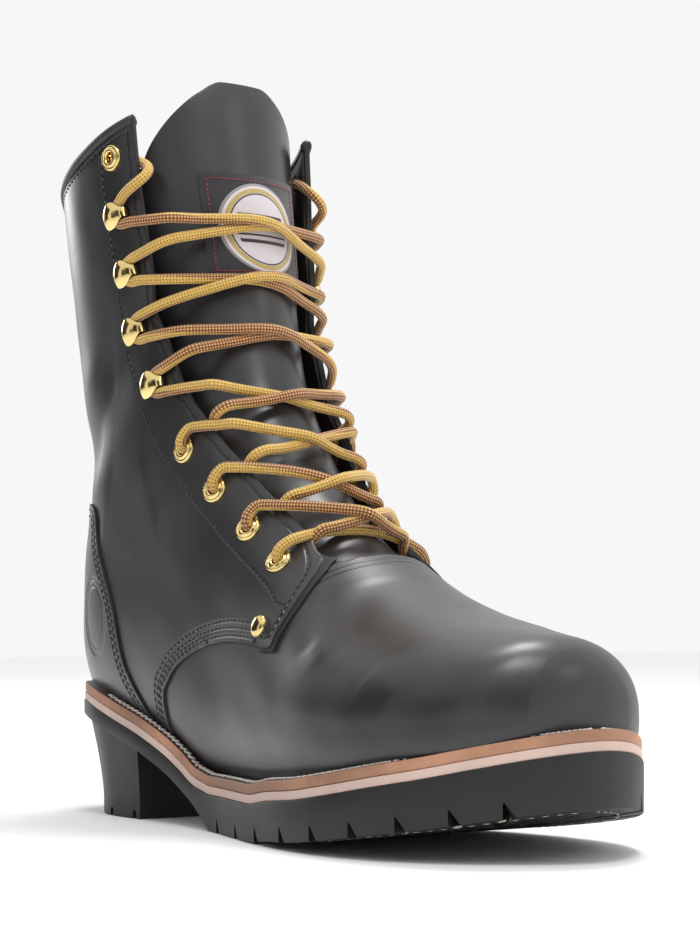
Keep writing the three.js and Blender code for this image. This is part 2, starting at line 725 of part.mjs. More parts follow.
function cutHeelTread(heel) {
  const sink = -heelTreadDepth;
  const half = heelWellSize / 2;
  const centre = new THREE.Vector3(0, 0, sink);
  const well = planPrism([[-half, -half], [half, -half], [half, half], [-half, half]], centre, 0, -2 * sink);
  let cutters = well.subtract(planPrism(crossOutline(1.1 * crossLugSize), centre, 0, -2 * sink));
  const across = heelSlotWidth / 2;
  const reach = heelBottomLength / 2;
  const slot = [[0, -across], [reach, -across], [reach, across], [0, across]];
  for (const turn of heelFanTurns) {
    const angle = (90 + turn) * degrees;
    const start = new THREE.Vector3(Math.cos(angle), Math.sin(angle), 0).multiplyScalar(0.94 * half);
    cutters = cutters.add(planPrism(slot, start.setZ(sink), angle, -2 * sink));
  }
  for (const side of [-1, 1]) {
    for (const share of heelSideSlots) {
      const start = at(side * 0.82 * half, heelBottomStart + heelBottomLength * share, sink);
      cutters = cutters.add(planPrism(slot, start, side < 0 ? Math.PI : 0, -2 * sink));
    }
  }
  return heel.subtract(cutters);
}

// The upper. The collar's line slopes up to the front and has the leg's height at collarLevel, and
// the places past the boot are far enough out for every cut.
const seatZ = weltTop(0);
const collarLevel = 0.255 * soleLength;
const pastSole = 0.3 * soleLength;
const pastThroat = 0.6 * soleLength;
const pastLeg = 2 * legHeight;
const legTop = (along) => seatZ + legHeight + collarDrop * ((along - collarLevel) / legWidth);

function featherCut() {
  const edge = soleStations.map((share) => [share * soleLength, weltTop(share * soleLength) + gap]);
  const start = [[-pastSole, -pastSole], [-pastSole, weltTop(0) + gap]];
  const front = soleLength + pastSole;
  const end = [[front, weltTop(soleLength) + gap], [front, -pastSole]];
  return sidePrism([...start, ...edge, ...end], soleWidth);
}

function collarCut() {
  const line = [[-pastSole, legTop(-pastSole)], [pastThroat, legTop(pastThroat)]];
  return sidePrism([...line, [pastThroat, pastLeg], [-pastSole, pastLeg]], soleWidth);
}

// The opening between the facings: a band that follows the ridge
function throatCut() {
  const places = throat.map((row) => row.section);
  const loops = places.map((place) => {
    const section = sectionAt(place);
    const half = throatHalf(place);
    const span = Math.hypot(section.baseAlong - section.ridgeAlong, section.baseZ - section.ridgeZ);
    const along = (section.baseAlong - section.ridgeAlong) / span;
    const rise = (section.baseZ - section.ridgeZ) / span;
    const outside = -6 * wallThickness;
    const inside = Math.min(section.middle * span * 0.8, 20 * wallThickness);
    const corner = (x, depth) => at(x, section.ridgeAlong + along * depth, section.ridgeZ + rise * depth);
    return [corner(-half, outside), corner(half, outside), corner(half, inside), corner(-half, inside)];
  });
  return loft(loops);
}

function overlayPrism(edge, closing) {
  const points = edge.map((row) => [row.along * soleLength, seatZ + row.rise * legHeight]);
  return sidePrism([...points, ...closing], soleWidth);
}

const sideName = (side) => (side > 0 ? "lateral" : "medial");

function eyeletPlaces() {
  const rows = eyeletSections.map((place, level) => ({ place, inset: eyeletInset, label: level + 1 }));
  rows.push({ place: topEyeletSection, inset: hookInset, label: "top" });
  return rows.flatMap(({ place, inset, label }) => [1, -1].map((side) => ({
    name: `eyelet_${label}_${sideName(side)}`,
    ...formPoint(place, turnBehindEdge(place, inset, side), quarterLevel),
  })));
}

// Turns a geometry made along +Z onto a place of the form, with +Y up the boot
function seatOn(geometry, { point, normal, up }) {
  const across = new THREE.Vector3().crossVectors(up, normal).normalize();
  const upright = new THREE.Vector3().crossVectors(normal, across);
  const frame = new THREE.Matrix4().makeBasis(across, upright, normal).setPosition(point);
  return geometry.applyMatrix4(frame);
}

function makeUpper() {
  const vamp = formSolid(vampLevel, formSections, formSides);
  const quarterArea = overlayPrism(quarterEdge, [
    [pastThroat, pastLeg], [-pastSole, pastLeg], [-pastSole, -pastSole],
  ]);
  const quarter = formSolid(quarterLevel, formSections, formSides).intersect(quarterArea);
  const counterArea = overlayPrism(counterEdge, [[-pastSole, -pastSole]]);
  const counter = formSolid(counterLevel, formSections, formSides).intersect(counterArea);
  const inside = formSolid(lining, innerSections, innerSides);
  let upper = vamp.add(quarter).add(counter).subtract(inside);
  upper = upper.subtract(featherCut()).subtract(collarCut()).subtract(throatCut());
  for (const place of eyeletPlaces()) {
    const depth = 8 * wallThickness;
    const hole = new THREE.CylinderGeometry(eyeletHoleRadius, eyeletHoleRadius, depth, hardwareSides);
    hole.rotateX(Math.PI / 2);
    upper = upper.subtract(asSolid(seatOn(hole, place)));
  }
  return upper;
}

// A round barrel through the leather with a flange on it
function makeEyelet(place) {
  const barrel = eyeletHoleRadius - gap;
  const bore = barrel - eyeletBarrelWall;
  const inner = -wallThickness - quarterStep;
  const seat = 2 * gap;
  const profilePoints = [
    [bore, inner], [barrel, inner], [barrel, seat], [eyeletRadius, seat], [bore, seat + eyeletFlange],
    [bore, inner],
  ];
  const outlinePoints = profilePoints.map(([r, z]) => new THREE.Vector2(r, z));
  const geometry = new THREE.LatheGeometry(outlinePoints, hardwareSides);
  geometry.rotateX(Math.PI / 2);
  return asGeometry(asSolid(seatOn(geometry, place)));
}

// Lacing hook: a shield over a foot, open towards the throat. The shield's half widths go from its
// end over the throat to its round back end, as shares of hookWidth against shares of hookLength.
const hookShield = [
  { along: -0.52, half: 0.25 },
  { along: 0.02, half: 0.5 },
  { along: 0.34, half: 0.39 },
  { along: 0.48, half: 0.15 },
];

function makeHook(place) {
  const flank = hookShield.map((row) => new THREE.Vector2(row.half * hookWidth, row.along * hookLength));
  const mirrored = [...flank].reverse().map((point) => new THREE.Vector2(-point.x, point.y));
  const shield = new THREE.Shape([...flank, ...mirrored]);
  const cap = new THREE.ExtrudeGeometry(shield, { depth: hookThickness, bevelEnabled: false });
  cap.translate(0, 0, hookRise);
  const height = hookRise + hookThickness / 2;
  const foot = new THREE.CylinderGeometry(0.9 * hookFootRadius, hookFootRadius, height, hardwareSides);
  foot.rotateX(Math.PI / 2);
  foot.translate(0, hookLength * 0.1, height / 2);
  const geometry = asGeometry(asSolid(cap).add(asSolid(foot)));
  geometry.rotateZ((place.side * Math.PI) / 2);
  return seatOn(geometry, place);
}

function hookPlaces() {
  return hookSections.flatMap((place, level) => [1, -1].map((side) => ({
    name: `lace_hook_${level + 1}_${sideName(side)}`,
    side,
    ...formPoint(place, turnBehindEdge(place, hookInset, side), quarterLevel + gap),
  })));
}

// The tongue: a shell in the form's own sections, set back behind the ridge
const tongueStart = 7.3;
const tongueEnd = 19.9;
const tongueTurn = 76 * degrees;
const tongueRows = 16;
const tongueSteps = 12;

function tongueSection(place, inset) {
  const section = sectionAt(place);
  const back = tongueBack(place) + inset;
  const span = Math.hypot(section.baseAlong - section.ridgeAlong, section.baseZ - section.ridgeZ);
  const share = back / span;
  return {
    ...section,
    ridgeAlong: section.ridgeAlong + (section.baseAlong - section.ridgeAlong) * share,
    ridgeZ: section.ridgeZ + (section.baseZ - section.ridgeZ) * share,
    middle: (section.middle - share) / (1 - share),
    lateral: section.lateral - wallThickness - 2 * gap - inset,
    medial: section.medial - wallThickness - 2 * gap - inset,
    ridgePower: Math.min(section.ridgePower, 2.1) * 0.96,
  };
}

// A shell over the tongue's rows from one to another and a turn to each side of its middle
const tonguePlace = (row) => tongueStart + ((tongueEnd - tongueStart) * row) / tongueRows;

function tongueShell(outer, inner, turnLimit, fromRow, toRow) {
  const steps = Math.round((turnLimit / tongueTurn) * tongueSteps);
  const turns = range(steps + 1).map((k) => turnLimit * (1 - (2 * k) / steps));
  const grid = (inset) => range(toRow - fromRow + 1).map((i) => {
    const section = tongueSection(tonguePlace(fromRow + i), inset);
    return turns.map((turn) => sectionPoint(section, turn));
  });
  return sheetSolid(grid(outer), grid(inner));
}

// The tongue's rounded top in front view, as shares of legWidth and of legHeight over the seat. The
// tongue and its label sit a shift away from the middle, towards the medial side.
const tongueDome = [
  { half: 0.56, rise: -0.2 },
  { half: 0.5, rise: 0.72 },
  { half: 0.43, rise: 0.85 },
  { half: 0.395, rise: 0.911 },
  { half: 0.374, rise: 0.944 },
  { half: 0.338, rise: 0.978 },
  { half: 0.283, rise: 1.012 },
  { half: 0.204, rise: 1.045 },
  { half: 0.09, rise: 1.067 },
];

function makeTongue() {
  const shell = tongueShell(0, tongueThickness, tongueTurn, 0, tongueRows);
  const side = tongueDome.map((row) => [row.half * legWidth, seatZ + row.rise * legHeight]);
  const domePoints = [
    ...side.map(([x, z]) => [tongueShift + x, z]),
    ...[...side].reverse().map(([x, z]) => [tongueShift - x, z]),
  ];
  return shell.intersect(frontPrism(domePoints, -pastSole, soleLength));
}

// The label lies over these rows of the tongue, with its middle at a share of legHeight over the seat
const labelStartRow = 10;
const labelEndRow = 15;
const labelRise = 0.806;

function makeLabel() {
  const skin = tongueShell(-gap - labelThickness, -gap, tongueTurn / 2, labelStartRow, labelEndRow);
  const middle = seatZ + labelRise * legHeight;
  const start = tongueShift - labelWidth / 2;
  const end = tongueShift + labelWidth / 2;
  const low = middle - labelHeight / 2;
  const high = middle + labelHeight / 2;
  const square = [[start, low], [end, low], [end, high], [start, high]];
  return skin.intersect(frontPrism(square, -pastSole, soleLength));
}

// The insole fills the floor inside the welt
function makeInsole() {
  const inside = formSolid(lining - weltInnerLedge - gap, floorSections, floorSides);
  const bottom = (along) => midsoleTop(along) + gap;
  const slab = soleLayer(1, bottom, (along) => bottom(along) + layerHeight(along, insoleThickness));
  return slab.intersect(inside);
}

function makeWelt() {
  const inside = formSolid(lining - weltInnerLedge, floorSections, floorSides);
  return soleLayer(0.6, weltBottom, weltTop).subtract(inside);
}

const makeMidsole = () => soleLayer(0.4, midsoleBottom, midsoleTop);

// The place and turn on the form that lie nearest to a point of the side view, found by a search over
// the sections from the throat's lower end to the ankle
function placeInSideView(along, z, side) {
  let best = null;
  for (const place of range(40).map((k) => throat[0].section + k * 0.05)) {
    for (const turn of range(50).map((k) => side * (0.6 + k * 0.03))) {
      const { point } = formPoint(place, turn, quarterLevel + gap);
      const away = Math.hypot(heelCentre - point.y - along, point.z - z);
      if (best === null || away < best.away) best = { away, place, turn };
    }
  }
  return best;
}

// Rivet caps that close the corner of each quarter
function rivetPlaces() {
  const along = rivetPlace.along * soleLength;
  const z = seatZ + rivetPlace.rise * legHeight;
  return [1, -1].map((side) => {
    const { place, turn } = placeInSideView(along, z, side);
    return { name: `rivet_${sideName(side)}`, ...formPoint(place, turn, quarterLevel + gap) };
  });
}

function makeRivet(place) {
  const dome = [
    [0, 0],
    [rivetRadius, 0],
    [rivetRadius * 0.9, rivetHeight * 0.56],
    [rivetRadius * 0.5, rivetHeight * 0.94],
    [0, rivetHeight],
  ];
  const geometry = new THREE.LatheGeometry(dome.map(([r, z]) => new THREE.Vector2(r, z)), hardwareSides);
  geometry.rotateX(Math.PI / 2);
  return asGeometry(asSolid(seatOn(geometry, place)));
}

// A round cord through a list of points
function cordGeometry(points, steps) {
  const circle = new THREE.Shape(range(laceSides).map((k) => {
    const turn = (k / laceSides) * 2 * Math.PI;
    return new THREE.Vector2(laceRadius * Math.cos(turn), laceRadius * Math.sin(turn));
  }));
  const path = new THREE.CatmullRomCurve3(points);
  return new THREE.ExtrudeGeometry(circle, { steps, bevelEnabled: false, extrudePath: path });
}

// A point over the tongue, a distance to one side of its middle line. Height is counted from the
// tongue, or from the label where that lies.
function tonguePoint(place, side, half, height) {
  const labelEdge = labelWidth / 2 - side * tongueShift;
  const overLabel = place > tonguePlace(labelStartRow - 1) && half < labelEdge + laceRadius;
  const section = tongueSection(place, -height - (overLabel ? labelThickness + gap : 0));
  return sectionPoint(section, turnAtHalf(section, half, side));
}

// A point over a facing, a distance behind its edge
function facingPoint(place, side, behind, height) {
  return formPoint(place, turnBehindEdge(place, behind, side), quarterLevel + height).point;
}

// A strand of the lacing. It starts beside the facing's edge on one side at the lower level, crosses
// the tongue and ends over the eyelet or hook on the other side at the upper level.
const overTongue = laceRadius + laceLift;
const overLeather = laceRadius + laceClearance;

function strand(lower, upper, fromSide) {
  const placeAt = (share) => lower.place + (upper.place - lower.place) * share;
  const overTongueAt = (share, halfShare, side, height) => {
    const place = placeAt(share);
    return tonguePoint(place, side, throatHalf(place) * halfShare, height);
  };
  const inside = throatHalf(lower.place) - laceDiameter - 4 * gap;
  return [
    tonguePoint(placeAt(0.1), fromSide, inside, overTongue - 2 * gap),
    overTongueAt(0.28, 0.6, fromSide, overTongue),
    overTongueAt(0.5, 0, fromSide, overTongue),
    overTongueAt(0.74, 0.6, -fromSide, overTongue + gap),
    facingPoint(placeAt(0.9), -fromSide, -gap, overLeather),
    facingPoint(upper.place, -fromSide, upper.reach, overLeather),
  ];
}

const levels = [
  ...eyeletSections.map((place) => ({ place, reach: eyeletInset - eyeletRadius - laceRadius - gap })),
  ...hookSections.map((place) => ({ place, reach: hookInset - hookLength / 2 - laceRadius - gap })),
];

function makeCrossing(index) {
  const lower = levels[index];
  const upper = levels[index + 1];
  const first = asSolid(cordGeometry(strand(lower, upper, 1), laceSteps));
  const second = asSolid(cordGeometry(strand(lower, upper, -1), laceSteps));
  return asGeometry(first.add(second));
}

// The lowest bar runs straight across over the throat's lower end
function makeLaceBar() {
  const { place, reach } = levels[0];
  const points = [1, -1].flatMap((side) => {
    const outer = facingPoint(place, side, reach, overLeather);
    const rim = facingPoint(place - 0.05, side, -gap, overLeather);
    const inner = tonguePoint(place - 0.1, side, throatHalf(place) * 0.5, overTongue + gap);
    return side > 0 ? [outer, rim, inner] : [inner, rim, outer];
  });
  return cordGeometry(points, laceSteps);
}

// A lace end leaves the highest hook and turns in beside the facing, over the tongue
function makeLaceEnd(side) {
  const { place, reach } = levels[levels.length - 1];
  const half = throatHalf(place);
  const points = [
    facingPoint(place + 0.3, side, reach, overLeather + gap),
    facingPoint(place + 0.44, side, -gap, overLeather + 4 * gap),
    tonguePoint(place + 0.5, side, half - 2.3 * laceDiameter, overTongue + 2 * gap),
    tonguePoint(place + 0.5, side, half - 4 * laceDiameter, overTongue),
  ];
  return cordGeometry(points, laceSteps);
}

// Materials
const surface = (color, roughness, metalness = 0) => new THREE.MeshStandardMaterial({
  color, roughness, metalness,
});
const blackLeather = surface(0x3d3b3e, 0.55);
const blackRubber = surface(0x2c2b2b, 0.7);
const paleMidsole = surface(0xdcc4ba, 0.75);
const tanWelt = surface(0xb98365, 0.7);
const liningLeather = surface(0x5a4c42, 0.8);
const brass = surface(0xd8b25a, 0.22, 1);
const labelCloth = surface(0x35282c, 0.9);
const laceBraid = surface(0xc98d35, 0.8);

const boot = new THREE.Group();

function addPiece(name, geometry, material) {
  const mesh = new THREE.Mesh(geometry, material);
  mesh.name = name;
  boot.add(mesh);
}

addPiece("outsole", asGeometry(makeOutsole()), blackRubber);
addPiece("heel", asGeometry(makeHeel()), blackRubber);
addPiece("midsole", asGeometry(makeMidsole()), paleMidsole);
addPiece("welt", asGeometry(makeWelt()), tanWelt);
addPiece("insole", asGeometry(makeInsole()), liningLeather);
addPiece("upper", asGeometry(makeUpper()), blackLeather);
addPiece("tongue", asGeometry(makeTongue()), blackLeather);
addPiece("tongue_label", asGeometry(makeLabel()), labelCloth);
for (const place of eyeletPlaces()) addPiece(place.name, makeEyelet(place), brass);
for (const place of hookPlaces()) addPiece(place.name, makeHook(place), brass);
for (const place of rivetPlaces()) addPiece(place.name, makeRivet(place), brass);
addPiece("lace_bar", makeLaceBar(), laceBraid);
for (const index of range(levels.length - 1)) {
  addPiece(`lace_crossing_${index + 1}`, makeCrossing(index), laceBraid);
}
addPiece("lace_end_lateral", makeLaceEnd(1), laceBraid);
addPiece("lace_end_medial", makeLaceEnd(-1), laceBraid);
soleScrews.forEach((screw, index) => addPiece(`sole_screw_${index + 1}`, makeScrew(screw), brass));

export default boot;
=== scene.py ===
# Logger boot, right foot: the finished leather, rubber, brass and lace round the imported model.
# Lengths in this script are millimetres until a mesh is made. The toe points along -Y, the lateral
# side of the foot is -X, the floor is z = 0 and "along" is measured forward from the sole's back end.
import math

import bmesh
import bpy
import numpy as np
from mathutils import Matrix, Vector
from mathutils.bvhtree import BVHTree


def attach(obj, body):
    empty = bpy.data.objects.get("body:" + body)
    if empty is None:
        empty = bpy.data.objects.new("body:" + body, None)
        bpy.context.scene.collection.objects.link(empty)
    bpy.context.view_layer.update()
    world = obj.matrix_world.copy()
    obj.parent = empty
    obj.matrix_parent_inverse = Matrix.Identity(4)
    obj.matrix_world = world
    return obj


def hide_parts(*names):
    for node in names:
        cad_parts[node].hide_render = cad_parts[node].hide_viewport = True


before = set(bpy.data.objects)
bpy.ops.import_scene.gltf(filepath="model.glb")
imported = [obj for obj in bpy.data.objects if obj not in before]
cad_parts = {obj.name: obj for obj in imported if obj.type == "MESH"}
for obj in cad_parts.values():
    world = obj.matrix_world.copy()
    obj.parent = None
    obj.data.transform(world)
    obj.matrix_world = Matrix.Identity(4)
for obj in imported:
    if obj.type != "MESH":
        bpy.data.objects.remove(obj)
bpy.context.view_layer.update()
MM = 0.001
TAU = 2 * math.pi
SQUARE = ((-1, -1), (1, -1), (1, 1), (-1, 1))

# Sizes of the sole
SOLE_LENGTH = 312
SOLE_WIDTH = 111
HEEL_HEIGHT = 45.5
FOREFOOT_THICKNESS = 13.4
TOE_SPRING = 17.8
TOE_THICKENING = 4.7
WAIST_THICKNESS = 6
TREAD_DEPTH = 6
GROOVE_WIDTH = 4.4
MIDSOLE_THICKNESS = 3.2
WELT_THICKNESS = 3.9
HEEL_BOTTOM_LENGTH = 60
HEEL_BOTTOM_START = 15.7
HEEL_TAPER = 3.4
HEEL_TREAD_DEPTH = 4
HEEL_WELL_SIZE = 34
HEEL_SLOT_WIDTH = 2.4
CROSS_LUG_SIZE = 19

# Sizes of the upper
LAST_WIDTH = 97
INSTEP_HEIGHT = 79
LEG_WIDTH = 98
LEG_HEIGHT = 220
COLLAR_DROP = 34
COLLAR_LEVEL = 0.255
WALL = 2
QUARTER_LEVEL = 1
COUNTER_LEVEL = 2
TONGUE_THICKNESS = 3
TONGUE_SETBACK = 15
TONGUE_SHIFT = 4
LABEL_WIDTH = 45
LABEL_HEIGHT = 41
LABEL_THICKNESS = 0.9
LABEL_RISE = 0.806

# Sizes of the hardware and the lace
GAP = 0.3
EYELET_INSET = 14.5
HOOK_INSET = 12.5
LACE_DIAMETER = 3.8
LACE_RADIUS = LACE_DIAMETER / 2

HEEL_CENTRE = HEEL_BOTTOM_START + HEEL_BOTTOM_LENGTH / 2

# The sole's outline: along as a share of its length, then the lateral and medial half widths as
# shares of its width
OUTLINE = np.array([
    (0, 0.036, 0.036), (0.013, 0.126, 0.126), (0.032, 0.207, 0.207), (0.064, 0.284, 0.284),
    (0.128, 0.347, 0.347), (0.192, 0.356, 0.351), (0.256, 0.351, 0.333), (0.321, 0.342, 0.302),
    (0.385, 0.347, 0.284), (0.449, 0.369, 0.297), (0.513, 0.41, 0.338), (0.577, 0.455, 0.387),
    (0.641, 0.491, 0.437), (0.689, 0.509, 0.468), (0.737, 0.514, 0.486), (0.785, 0.5, 0.486),
    (0.833, 0.468, 0.468), (0.881, 0.405, 0.419), (0.923, 0.324, 0.351), (0.955, 0.234, 0.27),
    (0.981, 0.135, 0.18), (0.994, 0.063, 0.108), (1, 0.005, 0.05),
])

# Side view of the sole: along, then how much of the heel's lift, the toe's spring and the tread it has
PROFILE = np.array([
    (0, 1, 0, 0), (0.064, 1, 0, 0), (0.128, 0.931, 0, 0), (0.192, 0.773, 0, 0), (0.256, 0.601, 0, 0),
    (0.321, 0.368, 0, 0), (0.353, 0.234, 0, 0), (0.385, 0.093, 0, 0.05), (0.417, 0.028, 0, 0.5),
    (0.442, 0, 0, 1), (0.577, 0, 0, 1), (0.641, 0, 0.1, 1), (0.705, 0, 0.173, 1), (0.769, 0, 0.3, 1),
    (0.833, 0, 0.455, 1), (0.897, 0, 0.628, 1), (1, 0, 1, 1),
])

# Sections of the last. Along is a share of the sole's length, rise a share of the instep's or the
# leg's height over the welt, and the widths are shares of the last's or the leg's width.
SECTION_KEYS = ("ridge_along", "ridge_z", "base_along", "base_z", "lateral", "medial", "middle",
                "ridge_power", "base_power")
FOOT_SECTIONS = [
    (0.975, 0.127, 0.976, 0.051, 0.01, 0.04, 0.5, 2, 2),
    (0.972, 0.23, 0.973, -0.03, 0.103, 0.144, 0.55, 2, 2.4),
    (0.96, 0.328, 0.963, -0.067, 0.206, 0.247, 0.6, 2, 3),
    (0.934, 0.421, 0.937, -0.081, 0.325, 0.345, 0.62, 2.1, 3.8),
    (0.894, 0.49, 0.897, -0.08, 0.423, 0.407, 0.62, 2.1, 4.4),
    (0.84, 0.574, 0.84, -0.082, 0.495, 0.459, 0.62, 2.1, 4.5),
    (0.769, 0.692, 0.769, -0.095, 0.526, 0.474, 0.62, 2.05, 4.5),
    (0.692, 0.842, 0.683, -0.097, 0.515, 0.464, 0.62, 2, 4.4),
    (0.625, 1, 0.599, -0.094, 0.479, 0.428, 0.62, 2.05, 4.2),
]
LEG_SECTIONS = [
    (0.551, 0.432, 0.503, -0.034, 0.434, 0.388, 0.6, 2.15, 4),
    (0.487, 0.509, 0.391, -0.037, 0.406, 0.378, 0.56, 2.35, 4),
    (0.441, 0.587, 0.263, -0.05, 0.401, 0.388, 0.52, 2.6, 3.8),
    (0.409, 0.655, 0.135, -0.06, 0.4, 0.395, 0.5, 2.75, 3.6),
    (0.388, 0.72, 0.035, -0.026, 0.398, 0.393, 0.5, 2.85, 2.7),
    (0.37, 0.782, 0.016, 0.137, 0.396, 0.392, 0.5, 2.85, 2.2),
    (0.356, 0.848, 0.033, 0.292, 0.389, 0.387, 0.5, 2.8, 2.1),
    (0.343, 0.912, 0.021, 0.447, 0.42, 0.414, 0.5, 2.7, 2.1),
    (0.332, 0.986, 0.005, 0.628, 0.441, 0.434, 0.5, 2.6, 2.1),
    (0.322, 1.071, -0.012, 0.802, 0.464, 0.456, 0.5, 2.5, 2.1),
    (0.316, 1.159, -0.028, 0.947, 0.479, 0.472, 0.5, 2.4, 2.1),
    (0.312, 1.203, -0.033, 1.011, 0.485, 0.478, 0.5, 2.4, 2.1),
]

# The throat: section, half opening as a share of the leg's width, setback of the tongue
THROAT = np.array([
    (7.9, 0.03, 0.25), (8.02, 0.14, 0.26), (8.2, 0.205, 0.27), (8.47, 0.226, 0.28), (8.82, 0.209, 0.29),
    (9.52, 0.219, 0.31), (10.4, 0.249, 0.33), (11.3, 0.288, 0.34), (12.4, 0.317, 0.36),
    (13.4, 0.335, 0.37), (14.6, 0.352, 0.38), (15.7, 0.37, 0.41), (17.3, 0.395, 0.52),
    (18.4, 0.407, 0.68), (20, 0.418, 1),
])

# Edges of the overlays in side view: along, then rise as a share of the leg's height over the seat
QUARTER_EDGE = [
    (0.316, -0.13), (0.319, -0.025), (0.335, 0.007), (0.366, 0.039), (0.419, 0.065), (0.484, 0.077),
    (0.546, 0.073), (0.593, 0.066), (0.601, 0.082), (0.61, 0.117), (0.613, 0.152), (0.611, 0.182),
    (0.604, 0.21), (0.58, 0.36),
]
COUNTER_EDGE = [
    (0.29, -0.13), (0.265, -0.05), (0.224, 0.034), (0.2, 0.14), (0.156, 0.253), (0.14, 0.315),
    (0.085, 0.322), (0.03, 0.29), (-0.1, 0.27),
]
EYELET_SECTIONS = [8.91, 9.81, 10.83, 12.02]
HOOK_SECTIONS = [13.75, 15.2, 16.14, 17.1]
TOP_EYELET_SECTION = 18
RIVET_PLACE = (0.561, 0.102)

# The tongue's rounded top in front view: half width, then rise over the seat
TONGUE_DOME = [
    (0.56, -0.2), (0.5, 0.72), (0.43, 0.85), (0.395, 0.911), (0.374, 0.944), (0.338, 0.978), (0.283, 1.012),
    (0.204, 1.045), (0.09, 1.067),
]

# Grooves between the rim's lugs (along, lean in degrees), cross lugs and screws (along, side)
RIM_GROOVES = [
    (0.474, -12), (0.545, -9), (0.615, -4), (0.686, 2), (0.751, 9), (0.812, 18), (0.868, 30),
    (0.918, 45), (0.958, 66),
]
CROSS_LUGS = [
    (0.84, -0.09), (0.81, 0.12), (0.757, -0.12), (0.735, 0.1), (0.672, -0.1), (0.653, 0.11),
    (0.592, -0.07), (0.567, 0.12),
]
SOLE_SCREWS = [
    (0.925, -0.13), (0.938, 0.02), (0.925, 0.16), (0.76, -0.37), (0.79, 0.36), (0.6, -0.3),
    (0.62, 0.3), (0.41, -0.17), (0.425, 0.17),
]

# Soft troughs and swellings of the leather in side view: along and z of both ends, side (0 is both),
# width, depth (a swelling is negative) in millimetres
CREASES = [
    (196, 88, 212, 66, 0, 5, 0.45), (204, 86, 221, 62, 0, 6, -0.35), (208, 92, 232, 66, 1, 5, 0.4),
    (186, 92, 196, 78, -1, 5, 0.4), (92, 118, 128, 132, 0, 8, 0.5), (84, 134, 118, 146, 1, 9, 0.45),
    (20, 118, 52, 112, 0, 8, 0.6), (18, 136, 60, 128, 0, 9, -0.5), (16, 148, 50, 142, 0, 9, 0.6),
    (24, 188, 66, 180, 1, 14, 0.6), (20, 214, 60, 220, -1, 16, 0.5), (250, 62, 268, 52, 0, 12, -0.3),
]


def curve_at(places, values, at):
    """Smooth curve through the points, level at each high or low point and past its ends."""
    x, y = np.asarray(places, float), np.asarray(values, float)
    last = len(x) - 1
    before = np.maximum(np.arange(last + 1) - 1, 0)
    after = np.minimum(np.arange(last + 1) + 1, last)
    slope = (y[after] - y[before]) / (x[after] - x[before])
    turns = (y - y[before]) * (y[after] - y) <= 0
    turns[[0, last]] = False
    slope[turns] = 0
    at = np.clip(np.asarray(at, float), x[0], x[-1])
    i = np.clip(np.searchsorted(x, at, side="right") - 1, 0, last - 1)
    span = x[i + 1] - x[i]
    f = (at - x[i]) / span
    start = y[i] * (2 * f**3 - 3 * f**2 + 1) + slope[i] * span * (f**3 - 2 * f**2 + f)
    return start + y[i + 1] * (3 * f**2 - 2 * f**3) + slope[i + 1] * span * (f**3 - f**2)


def smooth(value):
    """Rises from 0 to 1 as value does, level at both ends."""
    f = np.clip(value, 0, 1)
    return f * f * (3 - 2 * f)


# Heights of the sole's layers at a distance along it
def outsole_top(along):
    """Height of the outsole's upper face."""
    share = np.asarray(along, float) / SOLE_LENGTH
    lift = (HEEL_HEIGHT - FOREFOOT_THICKNESS) * curve_at(PROFILE[:, 0], PROFILE[:, 1], share)
    spring = (TOE_SPRING + TOE_THICKENING) * curve_at(PROFILE[:, 0], PROFILE[:, 2], share)
    return FOREFOOT_THICKNESS + lift + spring


def layer_height(along, thickness):
    """Upright height of a layer of even thickness on the sloping sole."""
    step = 2
    slope = (outsole_top(along + step) - outsole_top(along - step)) / (2 * step)
    return thickness * np.hypot(1, slope)


def midsole_top(along):
    """Height of the midsole's upper face."""
    return outsole_top(along) + layer_height(along, MIDSOLE_THICKNESS)


def welt_top(along):
    """Height of the welt's ledge."""
    return midsole_top(along) + layer_height(along, WELT_THICKNESS)


def outsole_bottom(along):
    """Height of the tread, and of the waist between tread and heel."""
    share = np.asarray(along, float) / SOLE_LENGTH
    tread = curve_at(PROFILE[:, 0], PROFILE[:, 3], share)
    ground = TOE_SPRING * curve_at(PROFILE[:, 0], PROFILE[:, 2], share)
    waist = outsole_top(along) - layer_height(along, WAIST_THICKNESS)
    return tread * ground + (1 - tread) * waist


def sole_half(along, inset, side):
    """Half width of the sole's outline on the lateral (1) or medial (-1) side, drawn in by an inset."""
    share = (np.asarray(along, float) - inset) / (SOLE_LENGTH - 2 * inset)
    return curve_at(OUTLINE[:, 0], OUTLINE[:, 1 if side > 0 else 2], share) * (SOLE_WIDTH - 2 * inset)


def at(x, along, z):
    """A point from its x, its distance along the sole and its height."""
    x, along, z = np.broadcast_arrays(np.asarray(x, float), along, z)
    return np.stack([x, HEEL_CENTRE - along, z], -1)


def along_of(points):
    """Distance along the sole."""
    return HEEL_CENTRE - points[..., 1]


SEAT_Z = float(welt_top(0.0))


def collar_height(along):
    """Height of the collar, which drops towards the back."""
    return SEAT_Z + LEG_HEIGHT + COLLAR_DROP * (along - COLLAR_LEVEL * SOLE_LENGTH) / LEG_WIDTH


# The form of the upper
def section_rows(table, rise, width):
    """A table of sections in millimetres."""
    rows = np.array(table, float)
    ridge, base = rows[:, 0] * SOLE_LENGTH, rows[:, 2] * SOLE_LENGTH
    rows[:, 1] = welt_top(ridge) + rows[:, 1] * rise
    rows[:, 3] = welt_top(base) + rows[:, 3] * rise
    rows[:, 0], rows[:, 2] = ridge, base
    rows[:, 4:6] *= width
    return rows


SECTIONS = np.vstack([section_rows(FOOT_SECTIONS, INSTEP_HEIGHT, LAST_WIDTH),
                      section_rows(LEG_SECTIONS, LEG_HEIGHT, LEG_WIDTH)])
LAST = len(SECTIONS) - 1


